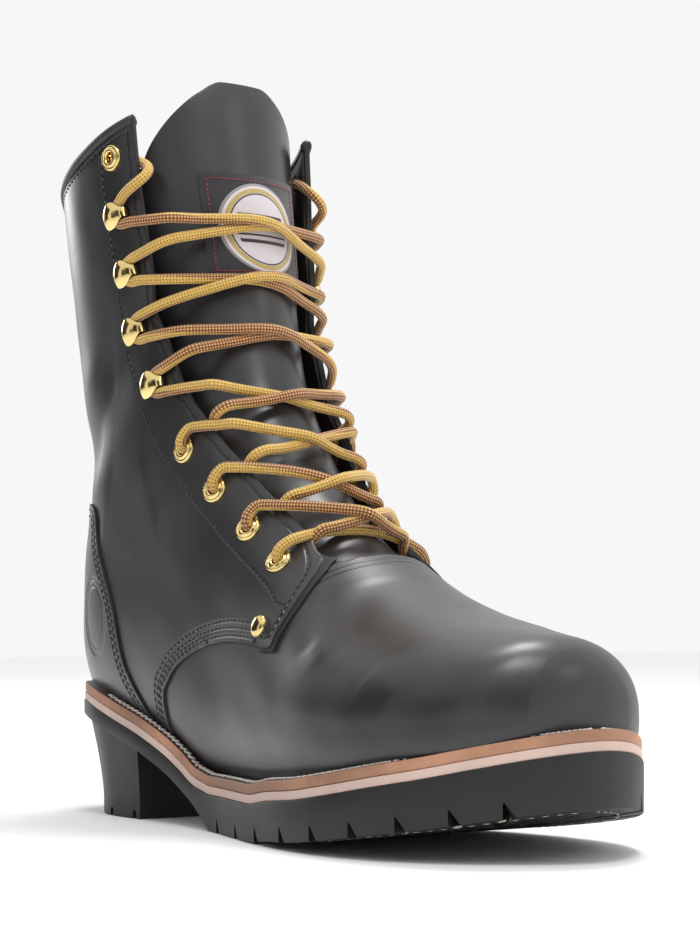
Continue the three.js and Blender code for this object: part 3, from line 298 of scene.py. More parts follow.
def section_at(place):
    """The values of a section at any place between the listed ones."""
    return {key: curve_at(np.arange(LAST + 1), SECTIONS[:, k], place) for k, key in enumerate(SECTION_KEYS)}


def section_point(section, turn):
    """A point of a section: turn 0 is the ridge, a positive turn goes round the lateral side."""
    span = np.hypot(section["base_along"] - section["ridge_along"], section["base_z"] - section["ridge_z"])
    sine, cosine = np.sin(turn), np.cos(turn)
    power = np.where(cosine > 0, section["ridge_power"], section["base_power"])
    reach = np.where(cosine > 0, section["middle"], 1 - section["middle"]) * span
    half = np.where(sine >= 0, section["lateral"], section["medial"])
    x = -np.sign(sine) * half * np.abs(sine) ** (2 / power)
    share = (section["middle"] * span - np.sign(cosine) * reach * np.abs(cosine) ** (2 / power)) / span
    return at(x, section["ridge_along"] + (section["base_along"] - section["ridge_along"]) * share,
              section["ridge_z"] + (section["base_z"] - section["ridge_z"]) * share)


def walked_along(line):
    """Distance walked along a line, at each of its points."""
    return np.r_[0, np.cumsum(np.linalg.norm(np.diff(line, axis=0), axis=1))]


def resampled(line, walked, even):
    """The line's three coordinates at the given walked distances."""
    return np.column_stack([np.interp(even, walked, line[:, k]) for k in range(3)])


def unit(vectors):
    """Vectors of length one."""
    return vectors / np.maximum(np.linalg.norm(vectors, axis=-1, keepdims=True), 1e-9)


def form(place, turn, offset=0.0):
    """Points that stand off the form, with its outward direction and its direction up the boot."""
    place, turn, offset = (np.atleast_1d(np.asarray(v, float)) for v in (place, turn, offset))
    place, turn, offset = np.broadcast_arrays(place, turn, offset)
    step = 0.02
    low, high = np.maximum(place - step, 0), np.minimum(place + step, LAST)
    up = section_point(section_at(high), turn) - section_point(section_at(low), turn)
    here = section_at(place)
    across = section_point(here, turn + step) - section_point(here, turn - step)
    normal = unit(np.cross(up, across))
    return section_point(here, turn) + normal * offset[..., None], normal, unit(up)


def turn_at_half(section, half, side):
    """The turn at which a section reaches a distance from the middle line, on the ridge side."""
    width = section["lateral"] if side > 0 else section["medial"]
    return side * np.arcsin(np.minimum(half / width, 0.999) ** (section["ridge_power"] / 2))


def throat_half(place):
    """Half the opening of the throat."""
    return curve_at(THROAT[:, 0], THROAT[:, 1], place) * LEG_WIDTH


def turn_behind_edge(place, distance, side):
    """The turn that lies a distance behind the facing's edge, walked along the leather."""
    samples = 400
    edge = float(turn_at_half(section_at(place), throat_half(place), side))
    turns = edge + side * np.linspace(0, 1.6, samples)
    points = section_point(section_at(np.full(samples, float(place))), turns)
    walked = walked_along(points)
    return float(np.interp(max(distance, 0), walked, turns))


QUARTER_START = 7.4
BEHIND_PLACES = np.linspace(QUARTER_START, LAST, 130)
BEHIND_TURNS = np.linspace(0, 2.6, 260)
BEHIND_REACH = 2.55
FAR_BEHIND = 80


def behind_table(side):
    """Distances behind the facing's edge over a grid of places and turns."""
    place, turn = np.meshgrid(BEHIND_PLACES, BEHIND_TURNS, indexing="ij")
    points = section_point(section_at(place.ravel()), side * turn.ravel()).reshape(*place.shape, 3)
    walked = np.cumsum(np.linalg.norm(np.diff(points, axis=1, prepend=points[:, :1]), axis=2), axis=1)
    edge = np.abs(turn_at_half(section_at(BEHIND_PLACES), throat_half(BEHIND_PLACES), side))
    start = np.array([np.interp(e, BEHIND_TURNS, w) for e, w in zip(edge, walked)])
    return walked - start[:, None]


BEHIND = {1: behind_table(1), -1: behind_table(-1)}


def behind_edge(rows):
    """Distance behind the facing's edge, walked along the leather."""
    turn = np.where(rows[:, 4] > math.pi, rows[:, 4] - TAU, rows[:, 4])
    i = np.interp(rows[:, 3], BEHIND_PLACES, np.arange(len(BEHIND_PLACES)))
    j = np.interp(np.abs(turn), BEHIND_TURNS, np.arange(len(BEHIND_TURNS)))
    i0 = np.minimum(i.astype(int), len(BEHIND_PLACES) - 2)
    j0 = np.minimum(j.astype(int), len(BEHIND_TURNS) - 2)
    fi, fj = i - i0, j - j0
    found = np.zeros(len(rows))
    for side in (1, -1):
        table = BEHIND[side]
        value = ((1 - fi) * (1 - fj) * table[i0, j0] + fi * (1 - fj) * table[i0 + 1, j0]
                 + (1 - fi) * fj * table[i0, j0 + 1] + fi * fj * table[i0 + 1, j0 + 1])
        found = np.where(turn * side > 0, value, found)
    return np.where(np.abs(turn) > BEHIND_REACH, FAR_BEHIND, found)


def tongue_section(place, inset):
    """A section of the tongue, which lies inside the upper."""
    section = section_at(place)
    back = curve_at(THROAT[:, 0], THROAT[:, 2], place) * TONGUE_SETBACK + inset
    span = np.hypot(section["base_along"] - section["ridge_along"], section["base_z"] - section["ridge_z"])
    share = back / span
    found = dict(section)
    found["ridge_along"] = section["ridge_along"] + (section["base_along"] - section["ridge_along"]) * share
    found["ridge_z"] = section["ridge_z"] + (section["base_z"] - section["ridge_z"]) * share
    found["middle"] = (section["middle"] - share) / (1 - share)
    found["lateral"] = section["lateral"] - WALL - 2 * GAP - inset
    found["medial"] = section["medial"] - WALL - 2 * GAP - inset
    found["ridge_power"] = np.minimum(section["ridge_power"], 2.1) * 0.96
    return found


def soft_noise(points, size, seed):
    """A smooth field of soft hollows and swellings, about -1 to 1, of the given size."""
    random = np.random.default_rng(seed)
    total = np.zeros(len(points))
    for _ in range(6):
        direction = unit(random.normal(size=3))
        wave = size * random.uniform(0.7, 1.6)
        total += np.sin(points @ direction * TAU / wave + random.uniform(0, TAU))
    return total / 3


# Lines in side view, as [along, z] points in millimetres
def smooth_line(table, samples=26):
    """A rounded line through the points of a table of shares."""
    knots = np.array([(a * SOLE_LENGTH, SEAT_Z + r * LEG_HEIGHT) for a, r in table])
    padded = np.vstack([2 * knots[0] - knots[1], knots, 2 * knots[-1] - knots[-2]])
    line = []
    for p0, p1, p2, p3 in zip(padded, padded[1:], padded[2:], padded[3:]):
        for f in np.linspace(0, 1, samples, endpoint=False):
            line.append(0.5 * (2 * p1 + (p2 - p0) * f + (2 * p0 - 5 * p1 + 4 * p2 - p3) * f**2
                               + (3 * p1 - p0 - 3 * p2 + p3) * f**3))
    return np.array(line + [knots[-1]])


def side_distance(points, line):
    """Distance in side view from a line, positive on its left, the side of the overlay."""
    flat = np.column_stack([along_of(points), points[:, 2]])
    start, step = line[:-1], np.diff(line, axis=0)
    length = (step**2).sum(1)
    best = np.full(len(flat), np.inf)
    sign = np.ones(len(flat))
    for a, d, l2 in zip(start, step, length):
        away = flat - a
        share = np.clip(away @ d / l2, 0, 1)
        near = np.linalg.norm(away - share[:, None] * d, axis=1)
        closer = near < best
        best[closer] = near[closer]
        sign[closer] = np.sign(d[0] * away[closer, 1] - d[1] * away[closer, 0])
    return best * np.where(sign == 0, 1, sign)


QUARTER_LINE = smooth_line(QUARTER_EDGE, 10)
COUNTER_LINE = smooth_line(COUNTER_EDGE, 12)


# Meshes
def even_turns(places, starts, ends, count):
    """Turns that divide each section evenly between a start and an end turn."""
    fine = 300
    rows = []
    for place, a, b in zip(places, starts, ends):
        turns = np.linspace(a, b, fine)
        points = section_point(section_at(np.full(fine, place)), turns)
        walked = walked_along(points)
        rows.append(np.interp(np.linspace(0, walked[-1], count), walked, turns))
    return np.array(rows)


def grid_faces(rows, columns, closed=False):
    """Faces of a grid of points, closed to a ring or not."""
    faces = []
    for i in range(rows - 1):
        for j in range(columns if closed else columns - 1):
            k = (j + 1) % columns
            faces.append((i * columns + j, (i + 1) * columns + j, (i + 1) * columns + k, i * columns + k))
    return faces


def panel_grid(places, starts, ends, columns):
    """Rows of x, y, z, place and turn over part of the form, with their faces."""
    turns = even_turns(places, starts, ends, columns)
    grid = np.repeat(np.asarray(places)[:, None], columns, 1)
    points = form(grid.ravel(), turns.ravel())[0]
    return np.column_stack([points, grid.ravel(), turns.ravel()]), grid_faces(len(places), columns)


def clip(rows, faces, keep):
    """Keeps the part of a mesh where the field is positive, and cuts its faces along the zero line."""
    keep = np.where(np.abs(keep) < 1e-4, 1e-4, keep)
    inside = keep > 0
    points, cut, left = list(rows), {}, []
    for face in faces:
        count = sum(inside[i] for i in face)
        if count == len(face):
            left.append(face)
        elif count:
            ring = []
            for a, b in zip(face, face[1:] + face[:1]):
                if inside[a]:
                    ring.append(a)
                if inside[a] != inside[b]:
                    key = (min(a, b), max(a, b))
                    if key not in cut:
                        cut[key] = len(points)
                        points.append(rows[a] + (rows[b] - rows[a]) * keep[a] / (keep[a] - keep[b]))
                    ring.append(cut[key])
            left.append(tuple(ring))
    used = sorted({i for face in left for i in face})
    number = {old: new for new, old in enumerate(used)}
    return np.array([points[i] for i in used]), [tuple(number[i] for i in face) for face in left]


def contour(rows, faces, field, level):
    """Lines of rows along which the field has a level, each in order from end to end."""
    above = field > level
    points, links = {}, {}
    for face in faces:
        keys = []
        for a, b in zip(face, face[1:] + face[:1]):
            if above[a] != above[b]:
                key = (min(a, b), max(a, b))
                if key not in points:
                    share = (level - field[key[0]]) / (field[key[1]] - field[key[0]])
                    points[key] = rows[key[0]] + (rows[key[1]] - rows[key[0]]) * share
                keys.append(key)
        if len(keys) == 2:
            links.setdefault(keys[0], []).append(keys[1])
            links.setdefault(keys[1], []).append(keys[0])
    lines, seen = [], set()
    ends = [k for k in links if len(links[k]) == 1]
    for start in ends + list(links):
        if start in seen:
            continue
        line, here = [], start
        while here is not None and here not in seen:
            seen.add(here)
            line.append(points[here])
            here = next((k for k in links[here] if k not in seen), None)
        if len(line) > 3:
            lines.append(np.array(line))
    return lines


def link(obj):
    """Puts an object into the scene."""
    bpy.context.scene.collection.objects.link(obj)
    return obj


def new_mesh(name, points, faces, materials=(), flat=False):
    """An object from points in millimetres."""
    mesh = bpy.data.meshes.new(name)
    mesh.from_pydata((np.asarray(points, float)[:, :3] * MM).tolist(), [], [tuple(f) for f in faces])
    mesh.update()
    for material in materials:
        mesh.materials.append(material)
    if not flat:
        mesh.shade_smooth()
    return link(bpy.data.objects.new(name, mesh))


def change_mesh(obj, change):
    """Opens an object's mesh, hands it to a function that changes it, and closes it again."""
    work = bmesh.new()
    work.from_mesh(obj.data)
    change(work)
    work.to_mesh(obj.data)
    work.free()


def weld(obj, distance):
    """Merges points that lie closer than a distance and drops what has no face."""
    def merge(work):
        bmesh.ops.remove_doubles(work, verts=work.verts, dist=distance * MM)
        bmesh.ops.delete(work, geom=[v for v in work.verts if not v.link_faces], context="VERTS")

    change_mesh(obj, merge)


def outward(obj):
    """Turns the faces of a piece outwards."""
    change_mesh(obj, lambda work: bmesh.ops.recalc_face_normals(work, faces=work.faces))


def thicken(obj, thickness, round_edge=0.35, rim=0):
    """Gives a sheet its thickness inwards and rounds its cut edges."""
    solid = obj.modifiers.new("thickness", "SOLIDIFY")
    solid.thickness = thickness * MM
    solid.offset = -1
    solid.material_offset_rim = rim
    if round_edge:
        edge = obj.modifiers.new("edge", "BEVEL")
        edge.width = round_edge * MM
        edge.segments = 2
        edge.limit_method = "ANGLE"
        edge.angle_limit = math.radians(50)
    return obj


def apply_modifiers(obj):
    """Leaves the piece as the plain mesh that its modifiers make."""
    depsgraph = bpy.context.evaluated_depsgraph_get()
    made = bpy.data.meshes.new_from_object(obj.evaluated_get(depsgraph))
    obj.modifiers.clear()
    obj.data = made


def finish_piece(obj, slot, *nodes):
    """Makes the piece one plain mesh on the boot's body, in place of the nodes that it replaces."""
    if obj.modifiers:
        apply_modifiers(obj)
    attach(obj, "root")
    if nodes:
        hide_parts(*nodes)
    return obj


def remove(obj):
    """Deletes an object."""
    bpy.data.objects.remove(obj, do_unlink=True)


def join_lists(parts):
    """Joins (points, faces) pairs into one pair."""
    points, faces, start = [], [], 0
    for some_points, some_faces in parts:
        points.append(np.asarray(some_points, float)[:, :3])
        faces += [tuple(i + start for i in face) for face in some_faces]
        start += len(some_points)
    return np.vstack(points), faces


# Materials
def node_material(name, color, roughness, metallic=0.0, coat=0.0, coat_roughness=0.2, sheen=0.0):
    """A material with its tree and its shader."""
    material = bpy.data.materials.new(name)
    material.use_nodes = True
    shader = material.node_tree.nodes["Principled BSDF"]
    shader.inputs["Base Color"].default_value = (*color, 1)
    shader.inputs["Roughness"].default_value = roughness
    shader.inputs["Metallic"].default_value = metallic
    shader.inputs["Coat Weight"].default_value = coat
    shader.inputs["Coat Roughness"].default_value = coat_roughness
    shader.inputs["Sheen Weight"].default_value = sheen
    return material, material.node_tree, shader


def add_node(tree, kind, **values):
    """A node with its properties and inputs set."""
    node = tree.nodes.new(kind)
    for key, value in values.items():
        if hasattr(node, key):
            setattr(node, key, value)
        else:
            node.inputs[key.replace("_", " ").title()].default_value = value
    return node


def mix_colors(tree, share, first, second):
    """Mixes two colours by a share."""
    node = add_node(tree, "ShaderNodeMix", data_type="RGBA")
    for socket, value in zip((node.inputs[0], node.inputs[6], node.inputs[7]), (share, first, second)):
        if isinstance(value, bpy.types.NodeSocket):
            tree.links.new(value, socket)
        else:
            socket.default_value = value if isinstance(value, float) else (*value, 1)
    return node.outputs[2]


def ranged(tree, value, low, high, to_low=0.0, to_high=1.0):
    """Maps a value smoothly from one range to another."""
    node = add_node(tree, "ShaderNodeMapRange")
    node.interpolation_type = "SMOOTHSTEP"
    tree.links.new(value, node.inputs["Value"])
    for key, number in (("From Min", low), ("From Max", high), ("To Min", to_low), ("To Max", to_high)):
        node.inputs[key].default_value = number
    return node.outputs["Result"]


def noise(tree, scale, detail=3.0, roughness=0.5, stretch=(1, 1, 1)):
    """Soft noise on the object's own coordinates."""
    coordinates = add_node(tree, "ShaderNodeTexCoord")
    mapping = add_node(tree, "ShaderNodeMapping")
    mapping.inputs["Scale"].default_value = stretch
    texture = add_node(tree, "ShaderNodeTexNoise")
    texture.inputs["Scale"].default_value = scale
    texture.inputs["Detail"].default_value = detail
    texture.inputs["Roughness"].default_value = roughness
    tree.links.new(coordinates.outputs["Object"], mapping.inputs["Vector"])
    tree.links.new(mapping.outputs["Vector"], texture.inputs["Vector"])
    return texture.outputs["Fac"]


def cells(tree, scale):
    """Distance to the nearest of many scattered points."""
    coordinates = add_node(tree, "ShaderNodeTexCoord")
    texture = add_node(tree, "ShaderNodeTexVoronoi")
    texture.inputs["Scale"].default_value = scale
    tree.links.new(coordinates.outputs["Object"], texture.inputs["Vector"])
    return texture.outputs["Distance"]


def bump(tree, shader, *layers):
    """Bump layers of (height, strength, distance in mm), one over the other."""
    normal = None
    for height, strength, distance in layers:
        node = add_node(tree, "ShaderNodeBump")
        node.inputs["Strength"].default_value = strength
        node.inputs["Distance"].default_value = distance * MM
        tree.links.new(height, node.inputs["Height"])
        if normal is not None:
            tree.links.new(normal, node.inputs["Normal"])
        normal = node.outputs["Normal"]
    tree.links.new(normal, shader.inputs["Normal"])


def math_node(tree, operation, *values):
    """A sum or other operation on sockets and numbers."""
    node = add_node(tree, "ShaderNodeMath", operation=operation)
    for socket, value in zip(node.inputs, values):
        if isinstance(value, bpy.types.NodeSocket):
            tree.links.new(value, socket)
        else:
            socket.default_value = value
    return node.outputs[0]


def named(tree, name, output="Fac"):
    """The value that a mesh stores under a name."""
    node = add_node(tree, "ShaderNodeAttribute", attribute_name=name)
    return node.outputs[output]


# Seams: how many there may be, the shift of a stored distance, and a distance too large for a groove
SEAM_COUNT = 6
SEAM_SHIFT = 100.0
NO_SEAM = 40.0


def leather(name, color, roughness, grain=0.5, tone=0.25, coat=0.15, dust=0.0):
    """Leather with grain, pores, soft wear, dust, grooves along its seams and painted shade that darkens
    those grooves.
    """
    material, tree, shader = node_material(name, color, roughness, coat=coat, coat_roughness=0.3)
    broad = noise(tree, 16, 5, 0.55)
    worn = noise(tree, 48, 6, 0.7, (1, 1, 0.6))
    fine = noise(tree, 520, 4, 0.6)
    pores = cells(tree, 1900)
    light = tuple(min(1, c * (1 + tone)) for c in color)
    dark = tuple(c * (1 - tone) for c in color)
    shade = mix_colors(tree, ranged(tree, broad, 0.3, 0.7), dark, light)
    scuff = math_node(tree, "MULTIPLY", ranged(tree, worn, 0.64, 0.8), dust)
    shade = mix_colors(tree, scuff, shade, (0.16, 0.15, 0.145))
    groove = NO_SEAM
    for number in range(1, SEAM_COUNT + 1):
        away = math_node(tree, "SUBTRACT", named(tree, f"seam_{number}"), SEAM_SHIFT)
        groove = math_node(tree, "MINIMUM", groove, math_node(tree, "ABSOLUTE", away))
    flat = ranged(tree, groove, 0.25, 1.1)
    # Painted shade: within about 0.7 mm of each seam line the colour darkens towards a fifth of its value, as
    # shade in the groove
    shade = mix_colors(tree, ranged(tree, groove, 0.2, 0.7, 0.75, 0.0), shade, tuple(c * 0.2 for c in color))
    tree.links.new(shade, shader.inputs["Base Color"])
    rough = ranged(tree, broad, 0.28, 0.72, roughness - 0.07, roughness + 0.08)
    rough = math_node(tree, "ADD", rough, math_node(tree, "MULTIPLY", fine, 0.06))
    tree.links.new(rough, shader.inputs["Roughness"])
    bump(tree, shader, (worn, 0.12 * grain, 0.6), (fine, 0.2 * grain, 0.22), (pores, 0.3 * grain, 0.08),
         (flat, 0.8, 0.35))
    return material


def thread(name, color):
    """Spun thread: fine noise in tone and height."""
    material, tree, shader = node_material(name, color, 0.65, sheen=0.25)
    fibre = noise(tree, 1600, 3, 0.6)
    pale = tuple(min(1, c * 1.35) for c in color)
    dull = tuple(c * 0.6 for c in color)
    shade = mix_colors(tree, ranged(tree, fibre, 0.35, 0.65), dull, pale)
    tree.links.new(shade, shader.inputs["Base Color"])
    bump(tree, shader, (fibre, 0.4, 0.12))
    return material


def metal(name, color, roughness):
    """Polished metal with fine wear."""
    material, tree, shader = node_material(name, color, roughness, 1.0)
    wear = noise(tree, 260, 5, 0.65)
    cast = noise(tree, 60, 2)
    rough = ranged(tree, wear, 0.3, 0.75, roughness * 0.7, roughness * 1.6)
    tree.links.new(rough, shader.inputs["Roughness"])
    deep = tuple(c * 0.86 for c in color)
    shade = mix_colors(tree, ranged(tree, cast, 0.35, 0.65), deep, color)
    tree.links.new(shade, shader.inputs["Base Color"])
    bump(tree, shader, (wear, 0.05, 0.06))
    return material


def woven(name, color, pitch):
    """Plain woven cloth."""
    material, tree, shader = node_material(name, color, 0.85, sheen=0.35)
    coordinates = add_node(tree, "ShaderNodeTexCoord")
    split = add_node(tree, "ShaderNodeSeparateXYZ")
    tree.links.new(coordinates.outputs["Object"], split.inputs[0])
    waves = [math_node(tree, "SINE", math_node(tree, "MULTIPLY", split.outputs[axis], TAU / (pitch * MM)))
             for axis in ("X", "Z")]
    weave = math_node(tree, "MULTIPLY", *waves)
    fibre = noise(tree, 900, 3)
    light = tuple(min(1, c * 1.5 + 0.01) for c in color)
    shade = mix_colors(tree, ranged(tree, weave, -0.6, 0.6), color, light)
    tree.links.new(shade, shader.inputs["Base Color"])
    bump(tree, shader, (weave, 0.5, 0.15), (fibre, 0.3, 0.1))
    return material, tree, shader


DARK_YARN = (0.03, 0.028, 0.03)


def near(tree, value, middle, reach):
    """1 where a value lies within a reach of a middle value, and 0 elsewhere."""
    off = math_node(tree, "ABSOLUTE", math_node(tree, "SUBTRACT", value, middle))
    return math_node(tree, "LESS_THAN", off, reach)


def woven_badge():
    """Off-white cloth with a thin gold ring and plain bands, drawn by its distance from the middle."""
    material, tree, shader = woven("badge_cloth", (0.55, 0.5, 0.52), 0.55)
    split = add_node(tree, "ShaderNodeSeparateXYZ")
    tree.links.new(named(tree, "badge", "Vector"), split.inputs[0])
    x, z = split.outputs["X"], split.outputs["Y"]
    radius = math_node(tree, "SQRT", math_node(tree, "ADD", math_node(tree, "MULTIPLY", x, x),
                                               math_node(tree, "MULTIPLY", z, z)))
    base = shader.inputs["Base Color"].links[0].from_socket
    inner = math_node(tree, "LESS_THAN", radius, 14.1)
    bands = 0.0
    for height, half in ((5.2, 0.7), (2.6, 0.4), (-2.6, 0.4), (-5.2, 0.7)):
        bands = math_node(tree, "ADD", bands, near(tree, z, height, half))
    bands = math_node(tree, "MULTIPLY", bands, math_node(tree, "LESS_THAN", radius, 12.0))
    shade = mix_colors(tree, math_node(tree, "MULTIPLY", bands, inner), base, DARK_YARN)
    shade = mix_colors(tree, near(tree, radius, 15.5, 0.85), shade, (0.5, 0.38, 0.12))
    rim = math_node(tree, "GREATER_THAN", radius, 17.4)
    shade = mix_colors(tree, rim, shade, (0.3, 0.27, 0.29))
    shade = mix_colors(tree, near(tree, radius, 14.2, 0.3), shade, DARK_YARN)
    tree.links.new(shade, shader.inputs["Base Color"])
    return material


LACE_PITCH = 2.3
LACE_PLAITS = 5


def lace_cloth():
    """Round braid: gold on one side, rust brown with pale ticks on the other, slowly twisting."""
    material, tree, shader = node_material("lace_cloth", (0.6, 0.36, 0.09), 0.7, sheen=0.3)
    split = add_node(tree, "ShaderNodeSeparateXYZ")
    tree.links.new(named(tree, "braid", "Vector"), split.inputs[0])
    along, sine = split.outputs["X"], split.outputs["Z"]
    angle = math_node(tree, "ARCTAN2", sine, split.outputs["Y"])
    run = math_node(tree, "MULTIPLY", along, TAU / LACE_PITCH)
    turn = math_node(tree, "MULTIPLY", angle, float(LACE_PLAITS))
    first = math_node(tree, "SINE", math_node(tree, "ADD", run, turn))
    second = math_node(tree, "SINE", math_node(tree, "SUBTRACT", run, turn))
    plait = math_node(tree, "MULTIPLY", first, second)
    drift = math_node(tree, "ADD", angle, math_node(tree, "MULTIPLY", along, TAU / 150))
    side = math_node(tree, "SINE", drift)
    gold = ranged(tree, side, -0.25, 0.05)
    tick = ranged(tree, plait, 0.15, 0.4)
    rust = mix_colors(tree, tick, (0.235, 0.068, 0.014), (0.82, 0.52, 0.2))
    yellow = mix_colors(tree, ranged(tree, plait, -0.7, 0.1), (0.4, 0.19, 0.03), (0.8, 0.53, 0.12))
    fibre = noise(tree, 1500, 3)
    shade = mix_colors(tree, gold, rust, yellow)
    shade = mix_colors(tree, ranged(tree, fibre, 0.3, 0.7, 0.25, 0.0), shade, (0.12, 0.05, 0.015))
    tree.links.new(shade, shader.inputs["Base Color"])
    bump(tree, shader, (plait, 0.6, 0.25), (fibre, 0.3, 0.08))
    return material


BLACK_LEATHER = leather("black_leather", (0.0205, 0.0193, 0.0212), 0.37, 0.5, 0.22, 0.3, 0.05)
COUNTER_LEATHER = leather("counter_leather", (0.0235, 0.022, 0.0245), 0.36, 0.6, 0.3, 0.26, 0.2)
TONGUE_LEATHER = leather("tongue_leather", (0.0195, 0.0183, 0.0203), 0.33, 0.5, 0.22, 0.32, 0.05)
RAW_EDGE = leather("raw_edge", (0.035, 0.033, 0.034), 0.8, 2.2, 0.4, 0.0, 0.3)
DARK_EDGE = leather("dark_edge", (0.008, 0.0075, 0.008), 0.62, 2.2, 0.4, 0.05, 0.2)
LINING_LEATHER = leather("lining_leather", (0.045, 0.036, 0.032), 0.7, 0.9, 0.3, 0.0, 0.1)
BINDING_LEATHER = leather("binding_leather", (0.03, 0.029, 0.032), 0.48, 1.2, 0.35, 0.1, 0.4)
RUBBER = leather("black_rubber", (0.0125, 0.012, 0.0127), 0.5, 0.9, 0.2, 0.0, 0.25)
WELT_TAN = leather("welt_tan", (0.44, 0.225, 0.135), 0.62, 2.4, 0.42, 0.0, 0.0)
WELT_DARK = leather("welt_dark", (0.045, 0.018, 0.015), 0.5, 1.6, 0.5, 0.1, 0.0)
MIDSOLE_PALE = leather("midsole_pale", (0.66, 0.49, 0.42), 0.7, 2.0, 0.16, 0.0, 0.0)
BRASS = metal("brass", (0.92, 0.71, 0.3), 0.13)
BLACK_THREAD = thread("black_thread", (0.009, 0.009, 0.0095))
WHITE_THREAD = thread("white_thread", (0.62, 0.56, 0.5))
RED_THREAD = thread("red_thread", (0.3, 0.018, 0.03))
LABEL_CLOTH = woven("label_cloth", (0.014, 0.012, 0.015), 0.5)[0]
BADGE_CLOTH = woven_badge()
LACE_CLOTH = lace_cloth()


# The leather of the upper: how far it reaches into the welt, and the rows of the vamp's throat
WELT_SINK = 1.0
THROAT_ROWS = (2.4, 5.2)
THROAT_SCALE = 22


def relief(rows):
    """How far the leather stands out or dips, in millimetres, at rows of x, y, z, place and turn."""
    points = rows[:, :3]
    height = 0.35 * soft_noise(points, 75, 3) + 0.1 * soft_noise(points, 26, 8)
    flat = np.column_stack([along_of(points), points[:, 2]])
    for a0, z0, a1, z1, side, width, depth in CREASES:
        start, step = np.array([a0, z0]), np.array([a1 - a0, z1 - z0])
        share = np.clip((flat - start) @ step / (step @ step), 0, 1)
        away = np.linalg.norm(flat - start - share[:, None] * step, axis=1)
        ends = smooth(np.minimum(share, 1 - share) * 5 + 0.25)
        here = 1 if side == 0 else smooth(-side * points[:, 0] / 20 + 0.5)
        height -= depth * ends * here * np.exp(-((away / width) ** 2))
    return height


def sheet_points(rows, offset):
    """Points of a sheet that stands off the form and follows its relief."""
    points = form(rows[:, 3], rows[:, 4])
    return points[0] + points[1] * (offset + relief(rows))[:, None]


def above_welt(rows):
    """Height over the level, sunk a little into the welt, at which the leather ends."""
    return rows[:, 2] - welt_top(along_of(rows[:, :3])) + WELT_SINK


def below_collar(rows):
    """Depth below the collar."""
    return collar_height(along_of(rows[:, :3])) - rows[:, 2]


def beside_throat(rows):
    """Distance beside the throat's opening."""
    beside = np.abs(rows[:, 0]) - throat_half(rows[:, 3])
    return np.where(np.cos(rows[:, 4]) > 0.1, beside, 60)


def soft_min(a, b, radius):
    """The smaller of two fields, with a rounded change."""
    blend = np.clip(0.5 + 0.5 * (b - a) / radius, 0, 1)
    return b + (a - b) * blend - radius * blend * (1 - blend)


def make_panel(name, rows, faces, offset, thickness, materials, slot="upper_leather", edge=0.35):
    """A sheet of leather on the form, as a finished piece."""
    obj = new_mesh(name, sheet_points(rows, offset), faces, materials)
    weld(obj, 0.02)
    thicken(obj, thickness, edge, rim=1 if len(materials) > 1 else 0)
    finish_piece(obj, slot, "upper")


def smooth_tip(obj, centre, reach):
    """Smooths the leather at the toe, where the rows of the grid meet."""
    def relax(work):
        near = []
        for vertex in work.verts:
            away = np.array(vertex.co) / MM - centre
            if away @ away < reach**2 and not vertex.is_boundary:
                near.append(vertex)
        for _ in range(30):
            bmesh.ops.smooth_vert(work, verts=near, factor=0.5, use_axis_x=True, use_axis_y=True,
                                  use_axis_z=True)

    change_mesh(obj, relax)


def throat_edge(rows):
    """Distance below the vamp's front edge at the throat, in places of the form."""
    return 7.93 + 0.22 * (rows[:, 0] / 24) ** 2 - rows[:, 3]


def make_vamp():
    """The vamp, from the toe to its edge in the throat and to 9 mm under the quarters."""
    columns = 170
    places = np.r_[0, np.linspace(0.02, 3, 46)[1:], np.linspace(3, 8.6, 90)[1:], np.linspace(8.6, 12, 50)[1:]]
    rows, faces = panel_grid(places, np.full(len(places), -math.pi), np.full(len(places), math.pi), columns)
    throat = np.where(np.abs(rows[:, 0]) < 28, THROAT_SCALE * throat_edge(rows), 9)
    keep = np.minimum.reduce([above_welt(rows), 9 - side_distance(rows, QUARTER_LINE), throat])
    tip = len(rows)
    closing = [(tip, j + 1, j) for j in range(columns - 1)]
    rows = np.vstack([rows, rows[:columns].mean(0)])
    keep = np.r_[keep, 1]
    rows[tip, 3] = 0
    rows, faces = clip(rows, faces + closing, keep)
    obj = new_mesh("vamp", sheet_points(rows, 0), faces, (BLACK_LEATHER, DARK_EDGE))
    rim = THROAT_SCALE * throat_edge(rows)
    beside = np.abs(rows[:, 0]) < 30
    set_seams(obj, [(rim - row, beside) for row in THROAT_ROWS])
    weld(obj, 0.05)
    outward(obj)
    smooth_tip(obj, rows[rows[:, 3] < 0.01, :3].mean(0), 20)
    thicken(obj, 1.1, 0.3, rim=1)
    finish_piece(obj, "upper_leather", "upper")


def leg_rows(start, end, count, columns, margin):
    """Rows that run from one facing round the back to the other."""
    places = np.linspace(start, end, count)
    half = np.maximum(throat_half(places) + margin, 0.5)
    section = section_at(places)
    first = turn_at_half(section, half, 1)
    last = TAU + turn_at_half(section, half, -1)
    return panel_grid(places, first, last, columns)


def beside_holes(rows):
    """Distance outside the holes that the eyelets stand in."""
    points = sheet_points(rows, 0)
    nearest = np.full(len(rows), 50.0)
    for point, _, _, normal in EYELETS.values():
        away = points - point
        depth = away @ normal
        ring = np.linalg.norm(away - depth[:, None] * normal, axis=1) - 2.85
        nearest = np.where(np.abs(depth) < 12, np.minimum(nearest, ring), nearest)
    return nearest


def quarter_front(rows):
    """Distance behind the quarter's front edge."""
    return soft_min(beside_throat(rows), side_distance(rows, QUARTER_LINE), 5)


